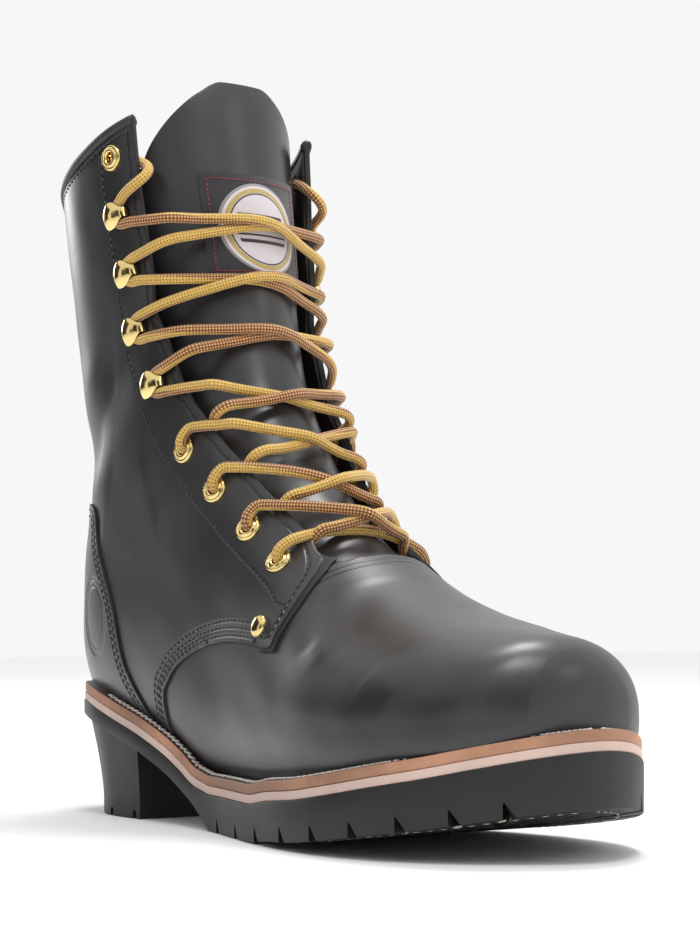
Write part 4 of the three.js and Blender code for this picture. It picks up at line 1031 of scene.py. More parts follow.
def make_quarters():
    """The two quarters in one piece, which meet at the back. Returns their rows and faces."""
    rows, faces = leg_rows(QUARTER_START, LAST, 190, 230, -4)
    keep = np.minimum.reduce([quarter_front(rows), above_welt(rows), below_collar(rows), beside_holes(rows)])
    rows, faces = clip(rows, faces, keep)
    obj = new_mesh("quarters", sheet_points(rows, QUARTER_LEVEL), faces, (BLACK_LEATHER, RAW_EDGE))
    set_seams(obj, quarter_seams(rows))
    weld(obj, 0.02)
    thicken(obj, WALL, 0.35, rim=1)
    finish_piece(obj, "upper_leather", "upper")
    return rows, faces


def make_flap_edge_and_shadow():
    """A dark sheet between the vamp and the front corner of each quarter: partly the raw edge of that layer,
    partly painted shadow of the quarter's edge on the vamp.
    """
    rows, faces = leg_rows(7.3, 12, 70, 240, -9)
    edge = side_distance(rows, QUARTER_LINE)
    corner = rows[:, 2] - (SEAT_Z + RIVET_PLACE[1] * LEG_HEIGHT - 9)
    ahead = along_of(rows[:, :3]) - RIVET_PLACE[0] * SOLE_LENGTH - 2
    below = (9.6 - rows[:, 3]) * 10
    # The strip reaches 2.6 mm in front of the quarter's edge. That part is painted shadow of the edge on the
    # vamp, together with the real dark raw edge
    keep = np.minimum.reduce([edge + 2.6, 9 - edge, corner, ahead, below, beside_throat(rows) + 0.2])
    keep = np.where(np.cos(rows[:, 4]) > 0.1, keep, -5)
    rows, faces = clip(rows, faces, keep)
    make_panel("flap_edge_and_shadow", rows, faces, 0.7, 1.0, (DARK_EDGE,))


# Rows of stitches, as distances from the edge of the quarter and of the counter
SCALLOP_ROWS = (2.2, 5.0, 7.4)
COUNTER_ROWS = (2.3, 4.8)


def quarter_seams(rows):
    """Fields in millimetres, each zero along one seam of a quarter, with where it is sewn."""
    behind, edge = behind_edge(rows), side_distance(rows, QUARTER_LINE)
    along = along_of(rows[:, :3])
    scallop = along < RIVET_PLACE[0] * SOLE_LENGTH - 1
    flap = soft_min(np.minimum(behind, 60), np.where(scallop & (rows[:, 3] < 10), 60, edge), 6)
    outer = behind - 24 + 4 * smooth((rows[:, 3] - 14) / 5)
    open_leg = (rows[:, 3] > 8.2) & (below_collar(rows) > 5)
    low = (edge < 60) & scallop
    scallops = [(edge - row, low) for row in SCALLOP_ROWS]
    return [(flap - 3.5, open_leg & (flap < 9)), (outer, open_leg & (edge > 3.5)), *scallops,
            (below_collar(rows) - 6, behind > 3)]


def set_seams(obj, fields):
    """Stores each seam's distance, shifted so that nought means no seam."""
    for number, (field, sewn) in enumerate(fields, 1):
        away = np.where(sewn, field, field + 60 * np.where(field < 0, -1, 1)) + SEAM_SHIFT
        attribute = obj.data.attributes.new(f"seam_{number}", "FLOAT", "POINT")
        attribute.data.foreach_set("value", np.asarray(away, np.float32))


def make_counter():
    """The counter with its pressed oval. Returns its rows and faces."""
    count = 180
    places = np.linspace(9, 17.5, count)
    rows, faces = panel_grid(places, np.full(count, 1.0), np.full(count, TAU - 1.0), 210)
    keep = np.minimum(side_distance(rows, COUNTER_LINE), above_welt(rows))
    rows, faces = clip(rows, faces, keep)
    edge = side_distance(rows, COUNTER_LINE)
    everywhere = np.ones(len(rows), bool)
    emblem = emblem_distance(rows)
    points = sheet_points(rows, COUNTER_LEVEL)
    points -= form(rows[:, 3], rows[:, 4])[1] * (0.3 * smooth((1 - emblem) / 1.6))[:, None]
    obj = new_mesh("counter", points, faces, (COUNTER_LEATHER, DARK_EDGE))
    set_seams(obj, [*((edge - row, everywhere) for row in COUNTER_ROWS), (emblem, np.abs(emblem) < 3),
                    (emblem + 2.2, np.abs(emblem + 2.2) < 3)])
    weld(obj, 0.02)
    thicken(obj, 1.4, 0.35, rim=1)
    finish_piece(obj, "upper_leather", "upper")
    return rows, faces


OVAL_ALONG = 45
OVAL_Z = 79
OVAL_HALF_LENGTH = 11
OVAL_HALF_HEIGHT = 15


def emblem_distance(rows):
    """Distance outside the plain oval pressed into the counter's lateral side."""
    a = (along_of(rows[:, :3]) - OVAL_ALONG) / OVAL_HALF_LENGTH
    z = (rows[:, 2] - OVAL_Z) / OVAL_HALF_HEIGHT
    return np.where(rows[:, 0] < 0, (np.hypot(a, z) - 1) * 12, 50)


def make_lining():
    """The lining, all round inside the upper."""
    count = 120
    places = np.linspace(0.6, LAST, count)
    rows, faces = panel_grid(places, np.full(count, -math.pi), np.full(count, math.pi), 130)
    behind = np.where(rows[:, 3] > 8, beside_throat(rows) - 0.4, throat_edge(rows) * THROAT_SCALE)
    behind = np.where(np.cos(rows[:, 4]) < 0, 9, behind)
    keep = np.minimum.reduce([above_welt(rows), below_collar(rows) - 1, behind, beside_holes(rows)])
    rows, faces = clip(rows, faces, keep)
    make_panel("lining", rows, faces, -1, 1, (LINING_LEATHER,), "lining_leather", edge=0)


def collar_line():
    """Places and turns along the collar, from the lateral facing round the back to the medial one."""
    places = np.linspace(16, LAST, 60)
    found = []
    for turn in np.linspace(0.3, TAU - 0.3, 260):
        points = section_point(section_at(places), np.full(len(places), turn))
        short = collar_height(along_of(points)) - points[:, 2]
        if short[0] > 0 > short[-1]:
            place = float(np.interp(0, -short, places))
            if turn > math.pi or abs(turn) >= turn_at_half(section_at(place), throat_half(place), 1):
                if turn < math.pi or turn <= TAU + turn_at_half(section_at(place), throat_half(place), -1):
                    found.append((place, turn))
    return np.array(found)


def make_collar_binding():
    """The rolled strip over the collar's edge."""
    line = collar_line()
    _, normal, up = form(line[:, 0], line[:, 1])
    top = sheet_points(np.column_stack([form(line[:, 0], line[:, 1])[0], line]), 0)
    shape = [(QUARTER_LEVEL - 0.2, -3.6), (QUARTER_LEVEL + 0.7, -3.2), (QUARTER_LEVEL + 0.9, -1.6),
             (QUARTER_LEVEL + 0.5, -0.2), (-0.5, 0.6), (-WALL + 0.3, -0.2), (-WALL - 0.7, -1.6),
             (-WALL - 0.5, -3.2), (-WALL + 0.2, -3.6)]
    rings = np.stack([top + normal * o + up * h for o, h in shape], 1)
    obj = new_mesh("collar_binding", rings.reshape(-1, 3), grid_faces(len(rings), len(shape), True),
                   (BINDING_LEATHER,))
    close_ends(obj)
    outward(obj)
    finish_piece(obj, "upper_leather", "upper")


def close_ends(obj):
    """Closes the open ends of a roll."""
    change_mesh(obj, lambda work: bmesh.ops.holes_fill(
        work, edges=[e for e in work.edges if e.is_boundary], sides=0))


# The tongue and its label
def tongue_grid(start, end, count, limit, columns):
    """Rows over the front of the tongue, with their faces."""
    places = np.linspace(start, end, count)
    turns = np.linspace(limit, -limit, columns)
    grid = np.repeat(places[:, None], columns, 1)
    turn = np.repeat(turns[None], count, 0)
    points = section_point(tongue_section(grid.ravel(), 0), turn.ravel())
    return np.column_stack([points, grid.ravel(), turn.ravel()]), grid_faces(count, columns)


def tongue_surface(rows, inset):
    """Points of the tongue at a depth."""
    return section_point(tongue_section(rows[:, 3], inset), rows[:, 4])


def under_dome(rows):
    """Depth below the tongue's rounded top."""
    dome = np.array(TONGUE_DOME)[::-1]
    half = np.r_[-dome[:, 0][::-1], dome[:, 0]] * LEG_WIDTH
    top = SEAT_Z + np.r_[dome[:, 1][::-1], dome[:, 1]] * LEG_HEIGHT
    top[np.abs(half) < 0.1 * LEG_WIDTH] += 1
    return curve_at(half, top, rows[:, 0] - TONGUE_SHIFT) - rows[:, 2]


def make_tongue():
    """The tongue. Returns its rows and faces."""
    rows, faces = tongue_grid(7.3, LAST, 200, math.radians(76), 90)
    rows, faces = clip(rows, faces, under_dome(rows))
    obj = new_mesh("tongue_shell", tongue_surface(rows, 0), faces, (TONGUE_LEATHER, RAW_EDGE))
    outward_from_tongue(obj)
    thicken(obj, TONGUE_THICKNESS - 0.2, 0.8, rim=1)
    finish_piece(obj, "upper_leather", "tongue")
    return rows, faces


def outward_from_tongue(obj):
    """Turns the faces of a sheet on the tongue to the front."""
    front = sum(p.normal.y * p.area for p in obj.data.polygons)
    if front > 0:
        obj.data.flip_normals()


def make_label():
    """The woven label on the tongue. Returns its rows and faces."""
    rows, faces = tongue_grid(14.4, 19.4, 130, math.radians(45), 130)
    middle = SEAT_Z + LABEL_RISE * LEG_HEIGHT
    inside = np.minimum(LABEL_WIDTH / 2 - np.abs(rows[:, 0] - TONGUE_SHIFT),
                        LABEL_HEIGHT / 2 - np.abs(rows[:, 2] - middle))
    rows, faces = clip(rows, faces, inside)
    obj = new_mesh("tongue_badge", tongue_surface(rows, -GAP - LABEL_THICKNESS), faces, (LABEL_CLOTH,))
    outward_from_tongue(obj)
    thicken(obj, LABEL_THICKNESS + GAP, 0.25)
    finish_piece(obj, "label_cloth", "tongue_label")
    return rows, faces


# The layers of the sole
STATIONS = np.unique(np.r_[np.linspace(0, 0.03, 14), np.linspace(0.03, 0.1, 14), np.linspace(0.1, 0.9, 110),
                           np.linspace(0.9, 1, 40)])


def layer_loops(inset, bottom_at, top_at, round_edge=0.5):
    """Loops of a sole layer, each a rounded rectangle across the sole."""
    along = inset + STATIONS * (SOLE_LENGTH - 2 * inset)
    lateral, medial = sole_half(along, inset, 1), sole_half(along, inset, -1)
    low, high = bottom_at(along), top_at(along)
    side = [(-round_edge, 0), (-0.3 * round_edge, 0.3 * round_edge), (0, round_edge)]
    shape = [(o, ("low", h)) for o, h in side] + [(0.0, ("mid", 0))]
    shape += [(o, ("high", -h)) for o, h in reversed(side)]
    loops = []
    for a, left, right, z0, z1 in zip(along, lateral, medial, low, high):
        level = {"low": z0, "high": z1, "mid": (z0 + z1) / 2}
        wall = [(max(o, -0.9 * left), max(o, -0.9 * right), level[ref] + h) for o, (ref, h) in shape]
        ring = [(-(left + o), a, z) for o, _, z in wall] + [(right + o, a, z) for _, o, z in reversed(wall)]
        loops.append(at(*np.array(ring).T))
    return np.array(loops)


def loft(name, loops, materials):
    """A closed piece through loops of points."""
    count, sides = loops.shape[:2]
    points = np.vstack([loops.reshape(-1, 3), loops[0].mean(0), loops[-1].mean(0)])
    faces = grid_faces(count, sides, True)
    start = count * sides
    last = start - sides
    for j in range(sides):
        k = (j + 1) % sides
        faces += [(start, j, k), (start + 1, last + k, last + j)]
    obj = new_mesh(name, points, faces, materials)
    outward(obj)
    return obj


def smooth_by_angle(obj, degrees=35):
    """Shades a piece smooth, but for the edges that are sharper than an angle."""
    def sharpen(work):
        for edge in work.edges:
            if len(edge.link_faces) == 2 and edge.calc_face_angle() > math.radians(degrees):
                edge.smooth = False

    obj.data.shade_smooth()
    change_mesh(obj, sharpen)


def make_midsole():
    """The pale strip over the outsole."""
    loops = layer_loops(0.4, lambda a: outsole_top(a) + 0.05, lambda a: midsole_top(a) - 0.05)
    obj = loft("midsole_band", loops, (MIDSOLE_PALE,))
    smooth_by_angle(obj)
    finish_piece(obj, "midsole_strip", "midsole")


def make_welt():
    """The tan welt, darker on its ledge."""
    loops = layer_loops(0.6, lambda a: midsole_top(a) + 0.05, welt_top, 0.7)
    obj = loft("welt_band", loops, (WELT_TAN, WELT_DARK))
    for face in obj.data.polygons:
        if face.normal.z > 0.6:
            face.material_index = 1
    smooth_by_angle(obj)
    cut_floor(obj)
    finish_piece(obj, "welt_leather", "welt")


def cut_floor(obj):
    """Opens the welt inside the upper with a cut that follows the form."""
    places = np.linspace(0, 12, 60)
    turns = np.linspace(-math.pi, math.pi, 90)[:-1]
    grid = np.repeat(places[:, None], len(turns), 1)
    points = form(grid.ravel(), np.tile(turns, len(places)), -WALL - 2)[0].reshape(*grid.shape, 3)
    cutter = loft("floor_cutter", points, ())
    subtract(obj, cutter)


def subtract(obj, *cutters):
    """Cuts the cutters out of a piece, one after the other, and removes them."""
    for cutter in cutters:
        modifier = obj.modifiers.new("cut", "BOOLEAN")
        modifier.operation = "DIFFERENCE"
        modifier.solver = "EXACT"
        modifier.object = cutter
        apply_modifiers(obj)
        remove(cutter)


def rotated(outline, angle):
    """A plan outline, turned by an angle."""
    c, s = math.cos(angle), math.sin(angle)
    return np.array(outline, float) @ np.array([[c, s], [-s, c]])


def layer_faces(count, layers=2):
    """Faces that close outlines of equal count, laid one over the other."""
    last = (layers - 1) * count
    faces = [tuple(range(count))[::-1], tuple(range(last, last + count))]
    return faces + [(i + j, i + (j + 1) % count, i + count + (j + 1) % count, i + count + j)
                    for i in range(0, last, count) for j in range(count)]


def prism(outline, place, angle, height):
    """Points and faces of a plan outline's prism, turned and set down at a place."""
    flat = rotated(outline, angle) + np.array(place[:2])
    low = np.column_stack([flat, np.full(len(flat), place[2])])
    return np.vstack([low, low + [0, 0, height]]), layer_faces(len(flat))


def prisms_object(name, parts):
    """One object of several closed shapes."""
    obj = new_mesh(name, *join_lists(parts), flat=True)
    outward(obj)
    return obj


# The outsole and the heel
RECESS_START = 0.53
RECESS_END = 0.885
RECESS_SHARE = 0.47
GROOVE_SHARE = 0.266


def groove_cutter(along, lean, side):
    """A groove from the sole's side inwards: a pointed wedge at the side, a full slot further in."""
    half = float(sole_half(along, 0, -side))
    out = 1.36 * GROOVE_WIDTH
    length = GROOVE_SHARE * SOLE_WIDTH + out
    across = GROOVE_WIDTH / 2
    flank = [(0, across), (out + 1, across), (out + 5, across), (length * 0.4, across),
             (length * 0.52, GROOVE_WIDTH), (length * 0.64, across), (length, across)]
    shape = np.array([(x, -y) for x, y in flank] + [(x, y) for x, y in flank[::-1]])
    narrow = 0.12 + 0.8 * smooth((shape[:, 0] - out - 1) / 7)
    lean = math.radians(lean)
    turn = lean if side < 0 else math.pi - lean
    start = at(side * (half + out * math.cos(lean)), along + out * math.sin(lean), 0)
    upright = across * (1 - narrow)
    tops = rotated(np.column_stack([shape[:, 0], shape[:, 1] * narrow + upright]), turn) + start[:2]
    lows = rotated(shape, turn) + start[:2]
    tread = outsole_bottom(np.clip(along_of(lows), 0, SOLE_LENGTH)) - 0.3
    high = outsole_bottom(np.clip(along_of(tops), 0, SOLE_LENGTH)) + TREAD_DEPTH * (0.85 + 0.15 * narrow)
    points = np.vstack([np.column_stack([lows, np.full(len(lows), -TOE_SPRING)]),
                        np.column_stack([lows, tread]), np.column_stack([tops, high])])
    return points, layer_faces(len(shape), 3)


def cross_outline(size):
    """Plan outline of a cross-shaped lug."""
    arm, neck, lobe = size / 2, size * 0.14, size * 0.24
    quarter = [(arm * 0.93, -neck), (arm, -neck * 0.6), (arm, neck * 0.6), (arm * 0.93, neck),
               (lobe, neck * 0.9), (neck * 0.9, lobe)]
    turns = [k * math.pi / 2 for k in range(4)]
    return [(x * math.cos(t) - y * math.sin(t), x * math.sin(t) + y * math.cos(t))
            for t in turns for x, y in quarter]


def recess_cutter():
    """The hollow in the middle of the forefoot's tread."""
    eased = (1 - np.cos(np.linspace(0.02, math.pi - 0.02, 50))) / 2
    stations = RECESS_START + (RECESS_END - RECESS_START) * eased
    along = stations * SOLE_LENGTH
    middle, reach = (RECESS_START + RECESS_END) / 2, (RECESS_END - RECESS_START) / 2
    round_end = np.sqrt(np.clip(1 - ((stations - middle) / reach) ** 2, 0, 1)) ** 0.7 * RECESS_SHARE
    left, right = sole_half(along, 0, 1) * round_end, sole_half(along, 0, -1) * round_end
    top = outsole_bottom(along) + TREAD_DEPTH
    low = np.full_like(top, -TOE_SPRING)
    corners = ((-left, low), (right, low), (right, top), (-left, top))
    rings = np.stack([at(x, along, z) for x, z in corners], 1)
    return loft("recess_cutter", rings, ())


def sloped_prism(outline, centre_x, along, turn, low_at, high_at):
    """A prism whose ends follow the sole's slope."""
    flat = rotated(outline, turn)
    x, a = flat[:, 0] + centre_x, along - flat[:, 1]
    return np.vstack([at(x, a, low_at(a)), at(x, a, high_at(a))]), layer_faces(len(flat))


def join_objects(first, *others):
    """Joins objects into the first one."""
    bpy.ops.object.select_all(action="DESELECT")
    for obj in (first, *others):
        obj.select_set(True)
    bpy.context.view_layer.objects.active = first
    bpy.ops.object.join()
    return first


def bevel_edges(obj, width, angle=40):
    """Rounds the edges that are sharper than an angle."""
    modifier = obj.modifiers.new("edges", "BEVEL")
    modifier.width = width * MM
    modifier.segments = 2
    modifier.limit_method = "ANGLE"
    modifier.angle_limit = math.radians(angle)


def make_outsole():
    """The outsole with its rim grooves, recess, lugs and pockets for the screws."""
    obj = loft("outsole_tread", layer_loops(0, outsole_bottom, outsole_top, 0.6), (RUBBER,))
    cutters = [recess_cutter()]
    for side in (-1, 1):
        for first in (0, 1):
            parts = [groove_cutter(a * SOLE_LENGTH, lean, side) for a, lean in RIM_GROOVES[first::2]]
            cutters.append(prisms_object("groove_cutter", parts))
    pockets = []
    circle = [(3 * math.cos(t), 3 * math.sin(t)) for t in np.linspace(0, TAU, 24, endpoint=False)]
    for along, side in SOLE_SCREWS:
        pockets.append(sloped_prism(circle, side * SOLE_WIDTH, along * SOLE_LENGTH, 0,
                                    lambda a: outsole_bottom(a) - 3, lambda a: outsole_bottom(a) + 1.6))
    cutters.append(prisms_object("screw_cutter", pockets))
    subtract(obj, *cutters)
    lugs = [sloped_prism(cross_outline(CROSS_LUG_SIZE), side * SOLE_WIDTH, along * SOLE_LENGTH, math.pi / 4,
                         outsole_bottom, lambda a: outsole_bottom(a) + TREAD_DEPTH + 0.5)
            for along, side in CROSS_LUGS]
    lugs = prisms_object("lugs", lugs)
    lugs.data.materials.append(RUBBER)
    bevel_edges(lugs, 0.5)
    apply_modifiers(lugs)
    obj = join_objects(obj, lugs)
    smooth_by_angle(obj)
    finish_piece(obj, "sole_rubber", "outsole")


HEEL_TAPERS = [(0, 1), (0.18, 0.97), (0.45, 0.72), (0.72, 0.36), (1, 0)]
HEEL_FAN = [-66, -40, -14, 14, 40, 66]
HEEL_SLOTS = [0.25, 0.62, 0.93]


def heel_half(spread, z, side):
    """Along and half width of the heel's wall at a share of its length and a height."""
    breast = HEEL_BOTTOM_START + HEEL_BOTTOM_LENGTH
    table = np.array(HEEL_TAPERS)
    taper = curve_at(table[:, 0], table[:, 1], z / (HEEL_HEIGHT + WAIST_THICKNESS))
    back = HEEL_BOTTOM_START * taper
    half = sole_half(spread * breast, 0, side) - HEEL_TAPER * taper
    return back + (breast - back) * spread, np.maximum(half, 1.6)


def make_heel():
    """The heel block with its well, slots and cross lug."""
    spreads = np.r_[0, 1 - np.cos(np.linspace(0.03, math.pi / 2, 46))]
    shares = np.r_[0, 0.012, np.linspace(0.03, 0.985, 26), 1]
    inset = np.where((shares < 0.005) | (shares > 0.995), 0.5, 0)
    rings = []
    for spread in spreads:
        walls = []
        for side in (1, -1):
            z = shares * HEEL_HEIGHT
            for _ in range(3):
                along, half = heel_half(spread, z, side)
                z = shares * (outsole_bottom(along) + 0.2)
            walls.append(at(-side * np.maximum(half - inset, 0.4), along, z))
        rings.append(np.vstack([walls[0], walls[1][::-1]]))
    obj = loft("heel_lift", np.array(rings), (RUBBER,))
    half = HEEL_WELL_SIZE / 2
    round_well = [(half * math.copysign(abs(math.cos(t)) ** 0.25, math.cos(t)),
                   half * math.copysign(abs(math.sin(t)) ** 0.25, math.sin(t)))
                  for t in np.linspace(0, TAU, 48, endpoint=False)]
    well = prisms_object("well", [prism(round_well, (0, 0, -HEEL_TREAD_DEPTH), 0, 2 * HEEL_TREAD_DEPTH)])
    slot = [(0, -HEEL_SLOT_WIDTH / 2), (HEEL_BOTTOM_LENGTH / 2, -HEEL_SLOT_WIDTH / 2),
            (HEEL_BOTTOM_LENGTH / 2, HEEL_SLOT_WIDTH / 2), (0, HEEL_SLOT_WIDTH / 2)]
    slots = []
    for turn in HEEL_FAN:
        angle = math.radians(90 + turn)
        start = (0.94 * half * math.cos(angle), 0.94 * half * math.sin(angle), -HEEL_TREAD_DEPTH)
        slots.append(prism(slot, start, angle, 2 * HEEL_TREAD_DEPTH - 0.7))
    for side in (-1, 1):
        for share in HEEL_SLOTS:
            x, y, _ = at(side * 0.82 * half, HEEL_BOTTOM_START + HEEL_BOTTOM_LENGTH * share, 0)
            slots.append(prism(slot, (x, y, -HEEL_TREAD_DEPTH), math.pi if side < 0 else 0,
                               2 * HEEL_TREAD_DEPTH - 0.7))
    subtract(obj, well, *[prisms_object("slot", [part]) for part in slots])
    cross = cross_outline(1.1 * CROSS_LUG_SIZE)
    lug = prisms_object("heel_lug", [prism(cross, (0, 0, 0), 0, HEEL_TREAD_DEPTH + 0.5)])
    lug.data.materials.append(RUBBER)
    bevel_edges(lug, 0.5)
    apply_modifiers(lug)
    obj = join_objects(obj, lug)
    smooth_by_angle(obj)
    finish_piece(obj, "sole_rubber", "heel")


# Brass hardware
def lathe(profile):
    """Points and faces of a turned shape; its profile goes from the axis or bore outwards and back."""
    sides = 32
    profile = np.array(profile, float)
    turns = np.linspace(0, TAU, sides, endpoint=False)
    rings = np.stack([np.column_stack([profile[:, 0] * math.cos(t), profile[:, 0] * math.sin(t),
                                       profile[:, 1]]) for t in turns])
    faces = grid_faces(sides, len(profile))
    faces += [((sides - 1) * len(profile) + j, j, j + 1, (sides - 1) * len(profile) + j + 1)
              for j in range(len(profile) - 1)]
    return rings.reshape(-1, 3), faces


def facing_frame(place, side, behind, offset):
    """Origin and axes of a place behind the facing's edge: away from the throat, up the boot, outward."""
    turn = turn_behind_edge(place, behind, side)
    point, normal, up = (v[0] for v in form(place, turn, offset))
    row = np.array([[*point, place, turn]])
    point = point + normal * relief(row)[0]
    away = np.cross(up, normal) * (1 if side < 0 else -1)
    away = unit(away)
    if np.dot(away, [-side, 0, 0]) < 0 and abs(away[0]) > 0.2:
        away = -away
    upright = unit(np.cross(normal, away))
    if np.dot(upright, up) < 0:
        upright = -upright
    return point, away, upright, normal


def set_in(frame_axes, local):
    """Local points, set on the axes of a piece of hardware."""
    point, away, up, normal = frame_axes
    local = np.asarray(local, float)
    return point + local[..., :1] * away + local[..., 1:2] * up + local[..., 2:3] * normal


EYELET_PROFILE = [(2.1, -3.4), (2.1, 0.9), (2.35, 1.45), (2.8, 1.62), (3.25, 1.5), (3.6, 1.15), (3.8, 1.0),
                  (4.05, 1.18), (4.4, 1.3), (4.8, 1.12), (5.1, 0.7), (5.2, 0.2), (5.1, -0.15), (2.9, -0.15),
                  (2.75, -3.4), (2.1, -3.4)]
RIVET_PROFILE = [(0.01, 1.85), (1.2, 1.8), (2.4, 1.55), (3.4, 1.1), (4.0, 0.6), (4.2, 0.1), (4.1, -0.3),
                 (0.01, -0.3)]
SCREW_PROFILE = [(0.01, 0.35), (1.4, 0.3), (2.2, 0.1), (2.55, -0.35), (2.6, -1.2), (0.01, -1.2)]
SCREW_SLOTS = ((1.7, 0.32), (0.32, 1.7))
BOX_FACES = [(0, 3, 2, 1), (4, 5, 6, 7), (0, 1, 5, 4), (1, 2, 6, 5), (2, 3, 7, 6), (3, 0, 4, 7)]
HOOK_THICKNESS = 0.8

# The hook's sheet from the end of its foot, round the fold by the throat and over the dome: distance
# away from the throat, height, half width and crown
HOOK_SHEET = [
    (2.6, 0.3, 0.6, 0), (2.2, 0.3, 2.0, 0), (0.5, 0.3, 2.9, 0), (-1.5, 0.3, 2.8, 0), (-3.6, 0.35, 2.2, 0),
    (-5.0, 0.6, 1.9, 0), (-5.6, 1.5, 1.8, 0), (-5.6, 2.6, 1.8, 0.05), (-5.0, 3.5, 2.0, 0.2),
    (-3.9, 3.85, 2.7, 0.5), (-2.4, 3.9, 3.9, 0.95), (-0.8, 3.85, 4.8, 1.45), (1.0, 3.75, 5.1, 1.7),
    (2.8, 3.5, 4.8, 1.5), (4.3, 3.15, 3.8, 1.0), (5.3, 2.75, 2.4, 0.45), (5.8, 2.5, 0.9, 0.05),
]


def hook_mesh():
    """Points and faces of a hook's sheet."""
    table = np.array(HOOK_SHEET)
    walk = np.r_[0, np.cumsum(np.hypot(*np.diff(table[:, :2], axis=0).T))]
    steps = np.linspace(0, walk[-1], 56)
    u, n, half, crown = (curve_at(walk, table[:, k], steps) for k in range(4))
    t = np.sin(np.linspace(-1, 1, 19) * math.pi / 2)
    grid = np.stack([np.repeat(u[:, None], len(t), 1), half[:, None] * t,
                     n[:, None] + crown[:, None] * (1 - t**2)], -1)
    return grid.reshape(-1, 3), grid_faces(len(steps), len(t))


def make_hook(name, frame_axes, node):
    """One lacing hook."""
    points, faces = hook_mesh()
    obj = new_mesh(name, set_in(frame_axes, points), faces, (BRASS,))
    outward(obj)
    solid = obj.modifiers.new("sheet", "SOLIDIFY")
    solid.thickness = HOOK_THICKNESS * MM
    solid.offset = 0
    bevel_edges(obj, 0.2, 50)
    finish_piece(obj, "polished_brass", node)


def make_turned(name, profile, frame_axes, node):
    """One eyelet ring or rivet cap."""
    points, faces = lathe(profile)
    obj = new_mesh(name, set_in(frame_axes, points), faces, (BRASS,))
    outward(obj)
    smooth_by_angle(obj, 50)
    finish_piece(obj, "polished_brass", node)


SIDE_NAMES = {1: "lateral", -1: "medial"}
EYELET_ROWS = [*((place, EYELET_INSET) for place in EYELET_SECTIONS), (TOP_EYELET_SECTION, HOOK_INSET)]
EYELETS = {(level, side): facing_frame(place, side, inset, QUARTER_LEVEL)
           for level, (place, inset) in enumerate(EYELET_ROWS) for side in (1, -1)}
HOOKS = {(level, side): facing_frame(place, side, HOOK_INSET, QUARTER_LEVEL)
         for level, place in enumerate(HOOK_SECTIONS) for side in (1, -1)}


def rivet_frame(side):
    """Origin and axes of the rivet on a quarter's front corner."""
    along, z = RIVET_PLACE[0] * SOLE_LENGTH, SEAT_Z + RIVET_PLACE[1] * LEG_HEIGHT
    places, turns = np.meshgrid(np.linspace(8.47, 10.4, 80), side * np.linspace(0.6, 2.1, 120))
    points, normal, up = form(places.ravel(), turns.ravel(), QUARTER_LEVEL)
    best = int(np.argmin(np.hypot(along_of(points) - along, points[:, 2] - z)))
    row = np.array([[*points[best], places.ravel()[best], turns.ravel()[best]]])
    away = unit(np.cross(up[best], normal[best]))
    point = points[best] + normal[best] * relief(row)[0]
    return point, away, np.cross(normal[best], away), normal[best]


def make_hardware():
    """All eyelets, hooks and rivets."""
    for (level, side), axes in EYELETS.items():
        name = f"eyelet_{'top' if level == 4 else level + 1}_{SIDE_NAMES[side]}"
        make_turned(f"{name}_ring", EYELET_PROFILE, axes, name)
    for (level, side), axes in HOOKS.items():
        name = f"lace_hook_{level + 1}_{SIDE_NAMES[side]}"
        make_hook(f"{name}_sheet", axes, name)
    for side in (1, -1):
        name = f"rivet_{SIDE_NAMES[side]}"
        make_turned(f"{name}_cap", RIVET_PROFILE, rivet_frame(side), name)


def make_screws():
    """The brass screws in the tread."""
    for number, (share, side) in enumerate(SOLE_SCREWS, 1):
        along = share * SOLE_LENGTH
        slope = float(outsole_bottom(along + 2) - outsole_bottom(along - 2)) / 4
        down = unit(np.array([0, -slope, -1.0]))
        point = at(side * SOLE_WIDTH, along, float(outsole_bottom(along)) + 0.5)
        right = np.array([1.0, 0, 0])
        axes = (point, right, np.cross(down, right), down)
        points, faces = lathe(SCREW_PROFILE)
        obj = new_mesh(f"sole_screw_{number}_head", set_in(axes, points), faces, (BRASS,))
        outward(obj)
        for a, b in SCREW_SLOTS:
            bar = np.array([(x * a, y * b, z) for z in (-0.4, 1) for x, y in SQUARE])
            subtract(obj, prisms_object("recess", [(set_in(axes, bar), BOX_FACES)]))
        smooth_by_angle(obj, 40)
        finish_piece(obj, "polished_brass", f"sole_screw_{number}")


# The lace
def tongue_point(place, side, half, height):
    """A point over the tongue, or over the label where that lies between."""
    over_label = place > 14.7 and half < LABEL_WIDTH / 2 - side * TONGUE_SHIFT + LACE_RADIUS
    section = tongue_section(place, -height - (LABEL_THICKNESS + GAP if over_label else 0))
    return section_point(section, turn_at_half(section, half, side))


def tongue_at(x, z, height):
    """The point over the tongue at a place in front view."""
    places = np.linspace(8, 19.8, 160)
    section = tongue_section(places, -height)
    line = section_point(section, turn_at_half(section, abs(x), 1 if x < 0 else -1))
    return np.array([x, np.interp(z, line[:, 2], line[:, 1]), z])


BADGE_LIFT = 0.45


